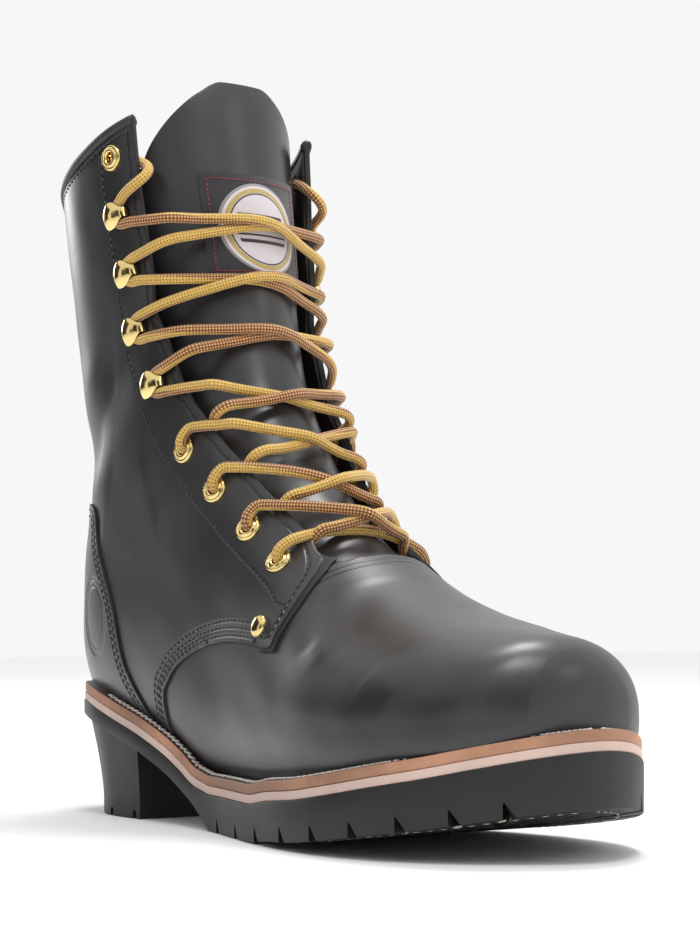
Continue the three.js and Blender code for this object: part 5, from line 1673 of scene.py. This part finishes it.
def make_badge():
    """A plain round badge sewn on the label."""
    sides, flat = 96, 34
    middle = SEAT_Z + LABEL_RISE * LEG_HEIGHT - 0.8
    radii = np.r_[np.linspace(0.4, 17.6, flat), 18.1, 18.4, 18.4]
    lift = np.r_[np.full(flat, BADGE_LIFT), 0.4, 0.2, -0.4]
    turns = np.linspace(0, TAU, sides, endpoint=False)
    points, marks = [], []
    for radius, rise in zip(radii, lift):
        for turn in turns:
            x, z = radius * math.cos(turn), radius * math.sin(turn)
            points.append(tongue_at(TONGUE_SHIFT + x, middle + z, GAP + LABEL_THICKNESS + rise))
            marks.append((x, z, 0))
    points.append(tongue_at(TONGUE_SHIFT, middle, GAP + LABEL_THICKNESS + BADGE_LIFT))
    marks.append((0, 0, 0))
    faces = grid_faces(len(radii), sides, True)
    faces += [(len(points) - 1, j, (j + 1) % sides) for j in range(sides)]
    back = (len(radii) - 1) * sides
    faces.append(tuple(range(back, back + sides)))
    obj = new_mesh("badge_disc", points, faces, (BADGE_CLOTH,))
    outward(obj)
    set_marks(obj, "badge", marks)
    finish_piece(obj, "label_cloth")


ROPE_STEP = 0.5
ROPE_STIFFNESS = 14


def rope(points):
    """A smooth line through the points, with about equal steps."""
    knots = np.array(points)
    padded = np.vstack([2 * knots[0] - knots[1], knots, 2 * knots[-1] - knots[-2]])
    line = []
    for p0, p1, p2, p3 in zip(padded, padded[1:], padded[2:], padded[3:]):
        chord = [max(np.linalg.norm(b - a), 0.1) ** 0.5 for a, b in ((p0, p1), (p1, p2), (p2, p3))]
        t1, t2, t3 = np.cumsum(chord)
        for t in np.linspace(t1, t2, 24, endpoint=False):
            a1 = p0 * (t1 - t) / t1 + p1 * t / t1
            a2 = p1 * (t2 - t) / (t2 - t1) + p2 * (t - t1) / (t2 - t1)
            a3 = p2 * (t3 - t) / (t3 - t2) + p3 * (t - t2) / (t3 - t2)
            b1 = a1 * (t2 - t) / t2 + a2 * t / t2
            b2 = a2 * (t3 - t) / (t3 - t1) + a3 * (t - t1) / (t3 - t1)
            line.append(b1 * (t2 - t) / (t2 - t1) + b2 * (t - t1) / (t2 - t1))
    line = np.array(line + [knots[-1]])
    walked = walked_along(line)
    even = np.linspace(0, walked[-1], max(int(walked[-1] / ROPE_STEP), 4))
    line = resampled(line, walked, even)
    for _ in range(ROPE_STIFFNESS):
        line[1:-1] = line[1:-1] * 0.5 + (line[:-2] + line[2:]) * 0.25
    return line


LACE_BREADTH = 4.0
LACE_HEIGHT = 3.7


def tube(line):
    """Points, faces and (along, cosine, sine) marks of a slightly flattened, plaited tube."""
    sides = 20
    tangent = unit(np.gradient(line, axis=0))
    outward_way = unit(line - np.column_stack([line[:, 0] * 0, line[:, 1] + 60, line[:, 2] - 25]))
    across = unit(np.cross(tangent, outward_way))
    out = np.cross(across, tangent)
    turns = np.linspace(0, TAU, sides, endpoint=False)
    walked = walked_along(line)
    run = walked[:, None] * TAU / LACE_PITCH
    plait = 1 + 0.035 * np.sin(run + LACE_PLAITS * turns) * np.sin(run - LACE_PLAITS * turns)
    rings = (line[:, None] + across[:, None] * (np.cos(turns) * plait * LACE_BREADTH / 2)[..., None]
             + out[:, None] * (np.sin(turns) * plait * LACE_HEIGHT / 2)[..., None])
    faces = grid_faces(len(line), sides, True)
    faces += [tuple(range(sides)), tuple(range((len(line) - 1) * sides, len(line) * sides))[::-1]]
    marks = np.stack([np.repeat(walked[:, None], sides, 1), np.repeat(np.cos(turns)[None], len(line), 0),
                      np.repeat(np.sin(turns)[None], len(line), 0)], -1)
    return rings.reshape(-1, 3), faces, marks.reshape(-1, 3)


def eyelet_entry(level, side):
    """In an arc from above, over the ring and down into the eyelet."""
    axes = EYELETS[level, side]
    lift = 1.2 if level == 0 else 3.6
    return [set_in(axes, p) for p in ((-8.2, lift, 2.3), (-5.6, lift * 0.86, 2.9), (-3.0, lift * 0.5, 3.3),
                                      (-1.1, lift * 0.16, 2.7), (-0.2, 0, 0.8), (0, 0, -3.2))]


def under_facing(level, side):
    """Two points of a strand behind the facing, below an eyelet."""
    axes = EYELETS[level, side]
    return [set_in(axes, (-8, 0.5, -5.2)), set_in(axes, (-13.5, 1.5, -4.4))]


HOOK_TURN = [(-6.4, -4.5, 2.5), (-3.4, -4.3, 2.1), (-0.9, -3.4, 1.9), (0.7, -1.8, 1.9), (1.2, 0, 1.9),
             (0.7, 1.8, 1.9), (-0.9, 3.4, 1.9), (-3.4, 4.3, 2.1), (-6.4, 4.5, 2.5)]


def hook_turn(level, side):
    """Points of the lace round a hook."""
    return [set_in(HOOKS[level, side], p) for p in HOOK_TURN]


def pulled(start, end, tree, others):
    """A strand pulled straight from start to end over the leather, clear of the strands in others."""
    count = 72
    share = np.linspace(0, 1, count)[:, None]
    line = start + (end - start) * share
    line = line + np.array([0, -1.0, 0.3]) * 16 * np.sin(math.pi * share)
    clear = LACE_RADIUS + 0.15
    for _ in range(150):
        line[1:-1] = line[1:-1] * 0.15 + (line[:-2] + line[2:]) * 0.425
        for k in range(1, count - 1):
            place, normal, _, distance = tree.find_nearest(line[k])
            side = (line[k] - np.array(place)) @ np.array(normal)
            if distance < clear or side < 0:
                gap = clear - (distance if side >= 0 else -distance)
                line[k] += np.array(normal) * gap
        if len(others):
            away = line[:, None] - others[None]
            distance = np.linalg.norm(away, axis=2)
            nearest = distance.argmin(1)
            gap = np.maximum(LACE_DIAMETER - 0.1 - distance[np.arange(count), nearest], 0)
            gap[[0, -1]] = 0
            line += np.array([0, -0.93, 0.37]) * gap[:, None]
    return line


def lace_ground(*sheets):
    """The outer faces that the lace lies on, for nearest point queries. Sheets are points, faces and the
    outward way at each point."""
    parts = []
    for points, faces, ways in sheets:
        kept = []
        for face in faces:
            a, b, c = (points[i] for i in face[:3])
            outside = np.cross(b - a, c - a) @ ways[face[0]] > 0
            kept.append(tuple(face) if outside else tuple(face[::-1]))
        parts.append((points, kept))
    points, faces = join_lists(parts)
    return BVHTree.FromPolygons(points.tolist(), faces)


def lace_lines(tree):
    """The lines of all strands. Those that pass under are pulled first, then those that lie over them."""
    lines = []
    over = [tongue_point(EYELET_SECTIONS[0] - 0.1, side, 10, LACE_RADIUS + 0.8) for side in (1, -1)]
    bar = [eyelet_entry(0, 1)[::-1], over, eyelet_entry(0, -1)]
    lines.append(rope(np.vstack([np.array(part) for part in bar])))
    spans = {}
    for level in range(7):
        for side in (1, -1):
            lower = under_facing(level, side)[-1] if level < 4 else hook_turn(level - 4, side)[-1]
            upper = eyelet_entry(level + 1, -side)[0] if level < 3 else hook_turn(level - 3, -side)[0]
            spans[level, side] = (np.array(lower), np.array(upper))
    under = {(level, side) for level in range(7) for side in (1, -1) if (level % 2 == 0) == (side > 0)}
    strands = {key: pulled(*spans[key], tree, []) for key in sorted(under)}
    below = np.vstack([line[6:-6] for line in strands.values()])
    for key in sorted(set(spans) - under):
        strands[key] = pulled(*spans[key], tree, below)
    for level in range(3):
        for side in (1, -1):
            points = under_facing(level, side)[:1] + list(strands[level, side][::5])
            lines.append(rope(np.array(points + eyelet_entry(level + 1, -side))))
    for side in (1, -1):
        points = under_facing(3, side)[:1]
        here = side
        for level in range(3, 7):
            points += list(strands[level, here][::5])
            here = -here
            points += hook_turn(level - 3, here)
        lines.append(rope(np.array(points[:-1])))
    return lines


def make_lace(tree):
    """The laced run as one piece."""
    parts, marks, start = [], [], 0
    for line in lace_lines(tree):
        points, faces, mark = tube(line)
        parts.append((points, faces))
        mark[:, 0] += start
        start = mark[-1, 0]
        marks.append(mark)
    obj = new_mesh("lace", *join_lists(parts), (LACE_CLOTH,))
    outward(obj)
    set_marks(obj, "braid", np.vstack(marks))
    nodes = ["lace_bar"] + [f"lace_crossing_{k}" for k in range(1, 8)]
    finish_piece(obj, "lace_braid", *nodes)


def set_marks(obj, name, marks):
    """Stores a vector at every point of a piece, for its material."""
    attribute = obj.data.attributes.new(name, "FLOAT_VECTOR", "POINT")
    attribute.data.foreach_set("vector", np.asarray(marks, np.float32).ravel())


def lace_end_line(side):
    """The end of the lace, from the top hook to behind the facing."""
    axes = HOOKS[3, side]
    points = [(-3.4, 4.3, 2.1), (-6.4, 5.6, 2.7), (-10.2, 6.6, 3.3), (-14.0, 7.6, 3.2), (-17.0, 9.4, 1.2),
              (-17.8, 12.0, -1.8), (-16.0, 15.0, -4.2), (-12.4, 18.0, -5.2), (-8.0, 20.5, -5.4)]
    return rope(np.array([set_in(axes, p) for p in points]))


def make_lace_ends():
    """The two ends of the lace, as cords."""
    for side in (1, -1):
        line = lace_end_line(side)
        points, faces, marks = tube(line)
        obj = new_mesh(f"lace_end_{SIDE_NAMES[side]}_cord", points, faces, (LACE_CLOTH,))
        outward(obj)
        set_marks(obj, "braid", marks)
        finish_piece(obj, "lace_braid", f"lace_end_{SIDE_NAMES[side]}")


# Stitches
def stitch_tree():
    """Lays a thread stitch on every point, along its direction and with its back to the leather."""
    tree = bpy.data.node_groups.new("stitches", "GeometryNodeTree")
    face = tree.interface
    face.new_socket("Points", in_out="INPUT", socket_type="NodeSocketGeometry")
    face.new_socket("Stitch length", in_out="INPUT", socket_type="NodeSocketFloat")
    face.new_socket("Thread width", in_out="INPUT", socket_type="NodeSocketFloat")
    face.new_socket("Thread", in_out="INPUT", socket_type="NodeSocketMaterial")
    face.new_socket("Stitches", in_out="OUTPUT", socket_type="NodeSocketGeometry")
    start, end = tree.nodes.new("NodeGroupInput"), tree.nodes.new("NodeGroupOutput")
    capsule = tree.nodes.new("GeometryNodeMeshUVSphere")
    capsule.inputs["Segments"].default_value = 8
    capsule.inputs["Rings"].default_value = 6
    capsule.inputs["Radius"].default_value = 0.5
    turned = None
    for key, axis, pivot in (("direction", "Z", "AUTO"), ("outward", "Y", "Z")):
        vector = tree.nodes.new("GeometryNodeInputNamedAttribute")
        vector.data_type = "FLOAT_VECTOR"
        vector.inputs["Name"].default_value = key
        align = tree.nodes.new("FunctionNodeAlignRotationToVector")
        align.axis, align.pivot_axis = axis, pivot
        tree.links.new(vector.outputs["Attribute"], align.inputs["Vector"])
        if turned is not None:
            tree.links.new(turned, align.inputs["Rotation"])
        turned = align.outputs["Rotation"]
    vary = tree.nodes.new("FunctionNodeRandomValue")
    vary.data_type = "FLOAT"
    for key, value in (("Min", 0.9), ("Max", 1.08), ("Seed", 7)):
        next(i for i in vary.inputs if i.name == key and i.enabled).default_value = value
    long = tree.nodes.new("ShaderNodeMath")
    long.operation = "MULTIPLY"
    tree.links.new(start.outputs["Stitch length"], long.inputs[0])
    tree.links.new(next(o for o in vary.outputs if o.enabled), long.inputs[1])
    size = tree.nodes.new("ShaderNodeCombineXYZ")
    for key in ("X", "Y"):
        tree.links.new(start.outputs["Thread width"], size.inputs[key])
    tree.links.new(long.outputs[0], size.inputs["Z"])
    place = tree.nodes.new("GeometryNodeInstanceOnPoints")
    tree.links.new(start.outputs["Points"], place.inputs["Points"])
    tree.links.new(capsule.outputs["Mesh"], place.inputs["Instance"])
    tree.links.new(turned, place.inputs["Rotation"])
    tree.links.new(size.outputs[0], place.inputs["Scale"])
    realize = tree.nodes.new("GeometryNodeRealizeInstances")
    paint = tree.nodes.new("GeometryNodeSetMaterial")
    tree.links.new(place.outputs["Instances"], realize.inputs[0])
    tree.links.new(realize.outputs[0], paint.inputs["Geometry"])
    tree.links.new(start.outputs["Thread"], paint.inputs["Material"])
    tree.links.new(paint.outputs[0], end.inputs[0])
    return tree


def spaced(points, normals, pitch):
    """Points a pitch apart on a line, with its direction and the outward way at each."""
    walked = walked_along(points)
    even = np.linspace(pitch / 2, walked[-1] - pitch / 2, max(int(walked[-1] / pitch), 2))
    place = resampled(points, walked, even)
    way = unit(np.gradient(place, axis=0))
    out = resampled(normals, walked, even)
    return place, way, unit(out - way * (out * way).sum(1, keepdims=True))


def seam_stitches(rows, faces, fields, offset, pitch):
    """Stitches along the zero line of every field, where it is sewn."""
    found = []
    for field, sewn in fields:
        for line in contour(np.column_stack([rows, sewn.astype(float)]), faces, field, 0.0):
            kept = np.split(line, np.flatnonzero(line[:, 5] < 0.5))
            for part in kept:
                part = part[part[:, 5] >= 0.5]
                if len(part) > 4:
                    normal = form(part[:, 3], part[:, 4])[1]
                    found.append(spaced(sheet_points(part[:, :5], offset), normal, pitch))
    return found


def make_stitches(name, rows, length, width, thread_material, slot):
    """One piece from rows of stitches."""
    points, ways, outs = (np.vstack(part) for part in zip(*rows))
    mesh = bpy.data.meshes.new(name)
    mesh.from_pydata((points * MM).tolist(), [], [])
    for key, vectors in (("direction", ways), ("outward", outs)):
        attribute = mesh.attributes.new(key, "FLOAT_VECTOR", "POINT")
        attribute.data.foreach_set("vector", vectors.astype(np.float32).ravel())
    obj = link(bpy.data.objects.new(name, mesh))
    modifier = obj.modifiers.new("stitches", "NODES")
    modifier.node_group = STITCHES
    sockets = {item.name: item.identifier for item in STITCHES.interface.items_tree
               if item.in_out == "INPUT"}
    modifier[sockets["Stitch length"]] = length * MM
    modifier[sockets["Thread width"]] = width * MM
    modifier[sockets["Thread"]] = thread_material
    apply_modifiers(obj)
    obj.data.shade_smooth()
    finish_piece(obj, slot)


def label_frame_rows():
    """The red rows round the label, inside its edges."""
    wide, tall = LABEL_WIDTH / 2 - 2, LABEL_HEIGHT / 2 - 2
    middle = SEAT_Z + LABEL_RISE * LEG_HEIGHT
    corners = [(-wide, -tall), (wide, -tall), (wide, tall), (-wide, tall), (-wide, -tall)]
    found = []
    for (x0, z0), (x1, z1) in zip(corners, corners[1:]):
        line = np.array([tongue_at(TONGUE_SHIFT + x0 + (x1 - x0) * f, middle + z0 + (z1 - z0) * f, 1.35)
                         for f in np.linspace(0, 1, 30)])
        found.append(spaced(line, [0, -1.0, 0.3] + line * [0.02, 0, 0], 1.9))
    return found


def welt_chain():
    """The chain stitch on the welt's ledge, from behind the heel's waist round the toe."""
    found = []
    for side in (1, -1):
        along = np.linspace(0.17, 0.992, 420) * SOLE_LENGTH
        half = sole_half(along, 3.6, side)
        points = at(-side * half, along, welt_top(along) + 0.25)
        place, way, out = spaced(points, np.tile([0, 0, 1.0], (420, 1)), 1.75)
        across = np.cross(out, way)
        lean = np.where(np.arange(len(place)) % 2 == 0, 1.0, -1.0)[:, None]
        found.append((place + across * lean * 0.25, unit(way + across * lean * 0.85), out))
    return found


TOE_ROW = 8


def toe_stitches():
    """White stitches in the sole's face round the toe."""
    found = []
    for side in (1, -1):
        around = np.sin(np.linspace(0.8, math.pi / 2, 160))
        along = (TOE_ROW / SOLE_LENGTH + around * (1 - 2 * TOE_ROW / SOLE_LENGTH)) * SOLE_LENGTH
        points = at(-side * sole_half(along, TOE_ROW, side), along, outsole_bottom(along) + 0.3)
        found.append(spaced(points, np.tile([0, 0, -1.0], (160, 1)), 4.6))
    return found


# The tree of stitches; pitch of the upper's seams, and the length and width of one of their stitches
STITCHES = stitch_tree()
SEAM_PITCH = 2.9
SEAM_THREAD = (2.1, 0.62)


# Camera, light and floor
FLOOR_SIZE = 8.0
CAMERA_PLACE = (-0.4629, -0.8306, 0.0759)
CAMERA_TURN = math.radians(-35.16)
ZOOM = 1.2
LENS = 74.62 * ZOOM
SHIFT = (-65 * ZOOM / 933, 131.1 * ZOOM / 933)


# Lights: name, place in metres, size in metres and power. Cards: name, centre in metres, width and height
LIGHTS = [
    ("key", (-0.2, -0.9, 1.8), 0.45, 10), ("front", (0.9, -1.6, 1.2), 0.5, 2),
    ("top", (0.4, 0.2, 1.8), 0.5, 14), ("back", (-0.2, 2.0, 0.7), 0.6, 6),
]
LIGHTS_AIM = (0, -0.1, 0.12)
CARDS = [
    ("card_front", (-1.25, -2.3, 0.75), 1900, 1300), ("card_side", (-1.9, -0.35, 0.55), 1100, 1000),
    ("card_back", (-1.25, 1.5, 0.6), 2100, 1600),
]
CARDS_AIM = (0, 0, 0.15)
WORLD_STRENGTH = 0.93


def make_stage():
    """A pale floor, soft light, and dark cards that the black leather reflects."""
    floor_material, tree, shader = node_material("floor_paper", (0.93, 0.93, 0.93), 0.8)
    tone = noise(tree, 2.5, 2)
    tree.links.new(mix_colors(tree, ranged(tree, tone, 0.3, 0.7), (0.925, 0.925, 0.93), (0.94, 0.94, 0.94)),
                   shader.inputs["Base Color"])
    half = FLOOR_SIZE / MM / 2
    floor = new_mesh("floor", [(x * half, y * half, 0) for x, y in SQUARE], [(0, 1, 2, 3)], (floor_material,))
    world = bpy.data.worlds.new("studio")
    bpy.context.scene.world = world
    world.use_nodes = True
    world.node_tree.nodes["Background"].inputs["Color"].default_value = (1, 1, 1, 1)
    world.node_tree.nodes["Background"].inputs["Strength"].default_value = WORLD_STRENGTH
    for name, place, size, power in LIGHTS:
        light = bpy.data.lights.new(name, "AREA")
        light.energy = power
        light.size = size
        obj = link(bpy.data.objects.new(name, light))
        obj.location = place
        obj.rotation_euler = (Vector(LIGHTS_AIM) - Vector(place)).to_track_quat("-Z", "Y").to_euler()
    card_material, tree, shader = node_material("card_felt", (0.02, 0.02, 0.022), 0.9)
    tree.links.new(mix_colors(tree, noise(tree, 40, 3), (0.016, 0.016, 0.018), (0.026, 0.026, 0.028)),
                   shader.inputs["Base Color"])
    for name, centre, wide, tall in CARDS:
        corners = [(x * wide / 2, y * tall / 2, 0) for x, y in SQUARE]
        card = new_mesh(name, corners, [(0, 1, 2, 3)], (card_material,))
        turned = (Vector(CARDS_AIM) - Vector(centre)).to_track_quat("Z", "Y").to_matrix()
        for vertex in card.data.vertices:
            vertex.co = turned @ vertex.co + Vector(centre)
        card.visible_camera = False
    bpy.context.scene.view_settings.view_transform = "Standard"


def make_camera():
    """The camera at the photograph's angle."""
    data = bpy.data.cameras.new("camera")
    data.lens = LENS
    data.sensor_width = 36
    data.shift_x, data.shift_y = SHIFT
    data.clip_start = 0.05
    obj = link(bpy.data.objects.new("camera", data))
    obj.location = CAMERA_PLACE
    obj.rotation_euler = (math.pi / 2, 0, CAMERA_TURN)
    bpy.context.scene.camera = obj


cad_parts["insole"].data.materials.clear()
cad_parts["insole"].data.materials.append(LINING_LEATHER)
make_vamp()
quarter_rows, quarter_faces = make_quarters()
counter_rows, counter_faces = make_counter()
make_flap_edge_and_shadow()
make_lining()
make_collar_binding()
tongue_rows, tongue_faces = make_tongue()
label_rows, label_faces = make_label()
make_badge()
make_midsole()
make_welt()
make_outsole()
make_heel()
make_hardware()
make_screws()
quarter_ways = form(quarter_rows[:, 3], quarter_rows[:, 4])[1]
forward = np.array([0, -1.0, 0.2])
ground = lace_ground(
    (sheet_points(quarter_rows, QUARTER_LEVEL), quarter_faces, quarter_ways),
    (tongue_surface(tongue_rows, -0.1), tongue_faces, np.tile(forward, (len(tongue_rows), 1))),
    (tongue_surface(label_rows, -GAP - LABEL_THICKNESS - BADGE_LIFT), label_faces,
     np.tile(forward, (len(label_rows), 1))))
make_lace(ground)
make_lace_ends()
quarter_fields = quarter_seams(quarter_rows)
quarter_lines = seam_stitches(quarter_rows, quarter_faces, quarter_fields, QUARTER_LEVEL, SEAM_PITCH)
make_stitches("quarter_stitches", quarter_lines, *SEAM_THREAD, BLACK_THREAD, "upper_leather")
counter_edge = side_distance(counter_rows, COUNTER_LINE)
counter_fields = [(counter_edge - gap, np.ones(len(counter_rows), bool)) for gap in COUNTER_ROWS]
counter_lines = seam_stitches(counter_rows, counter_faces, counter_fields, COUNTER_LEVEL, SEAM_PITCH)
make_stitches("counter_stitches", counter_lines, *SEAM_THREAD, BLACK_THREAD, "upper_leather")
make_stitches("label_stitches", label_frame_rows(), 1.5, 0.5, RED_THREAD, "label_cloth")
make_stitches("welt_stitches", welt_chain(), 2.7, 1.15, WHITE_THREAD, "welt_leather")
make_stitches("toe_stitches", toe_stitches(), 3.6, 0.9, WHITE_THREAD, "sole_rubber")
make_stage()
make_camera()
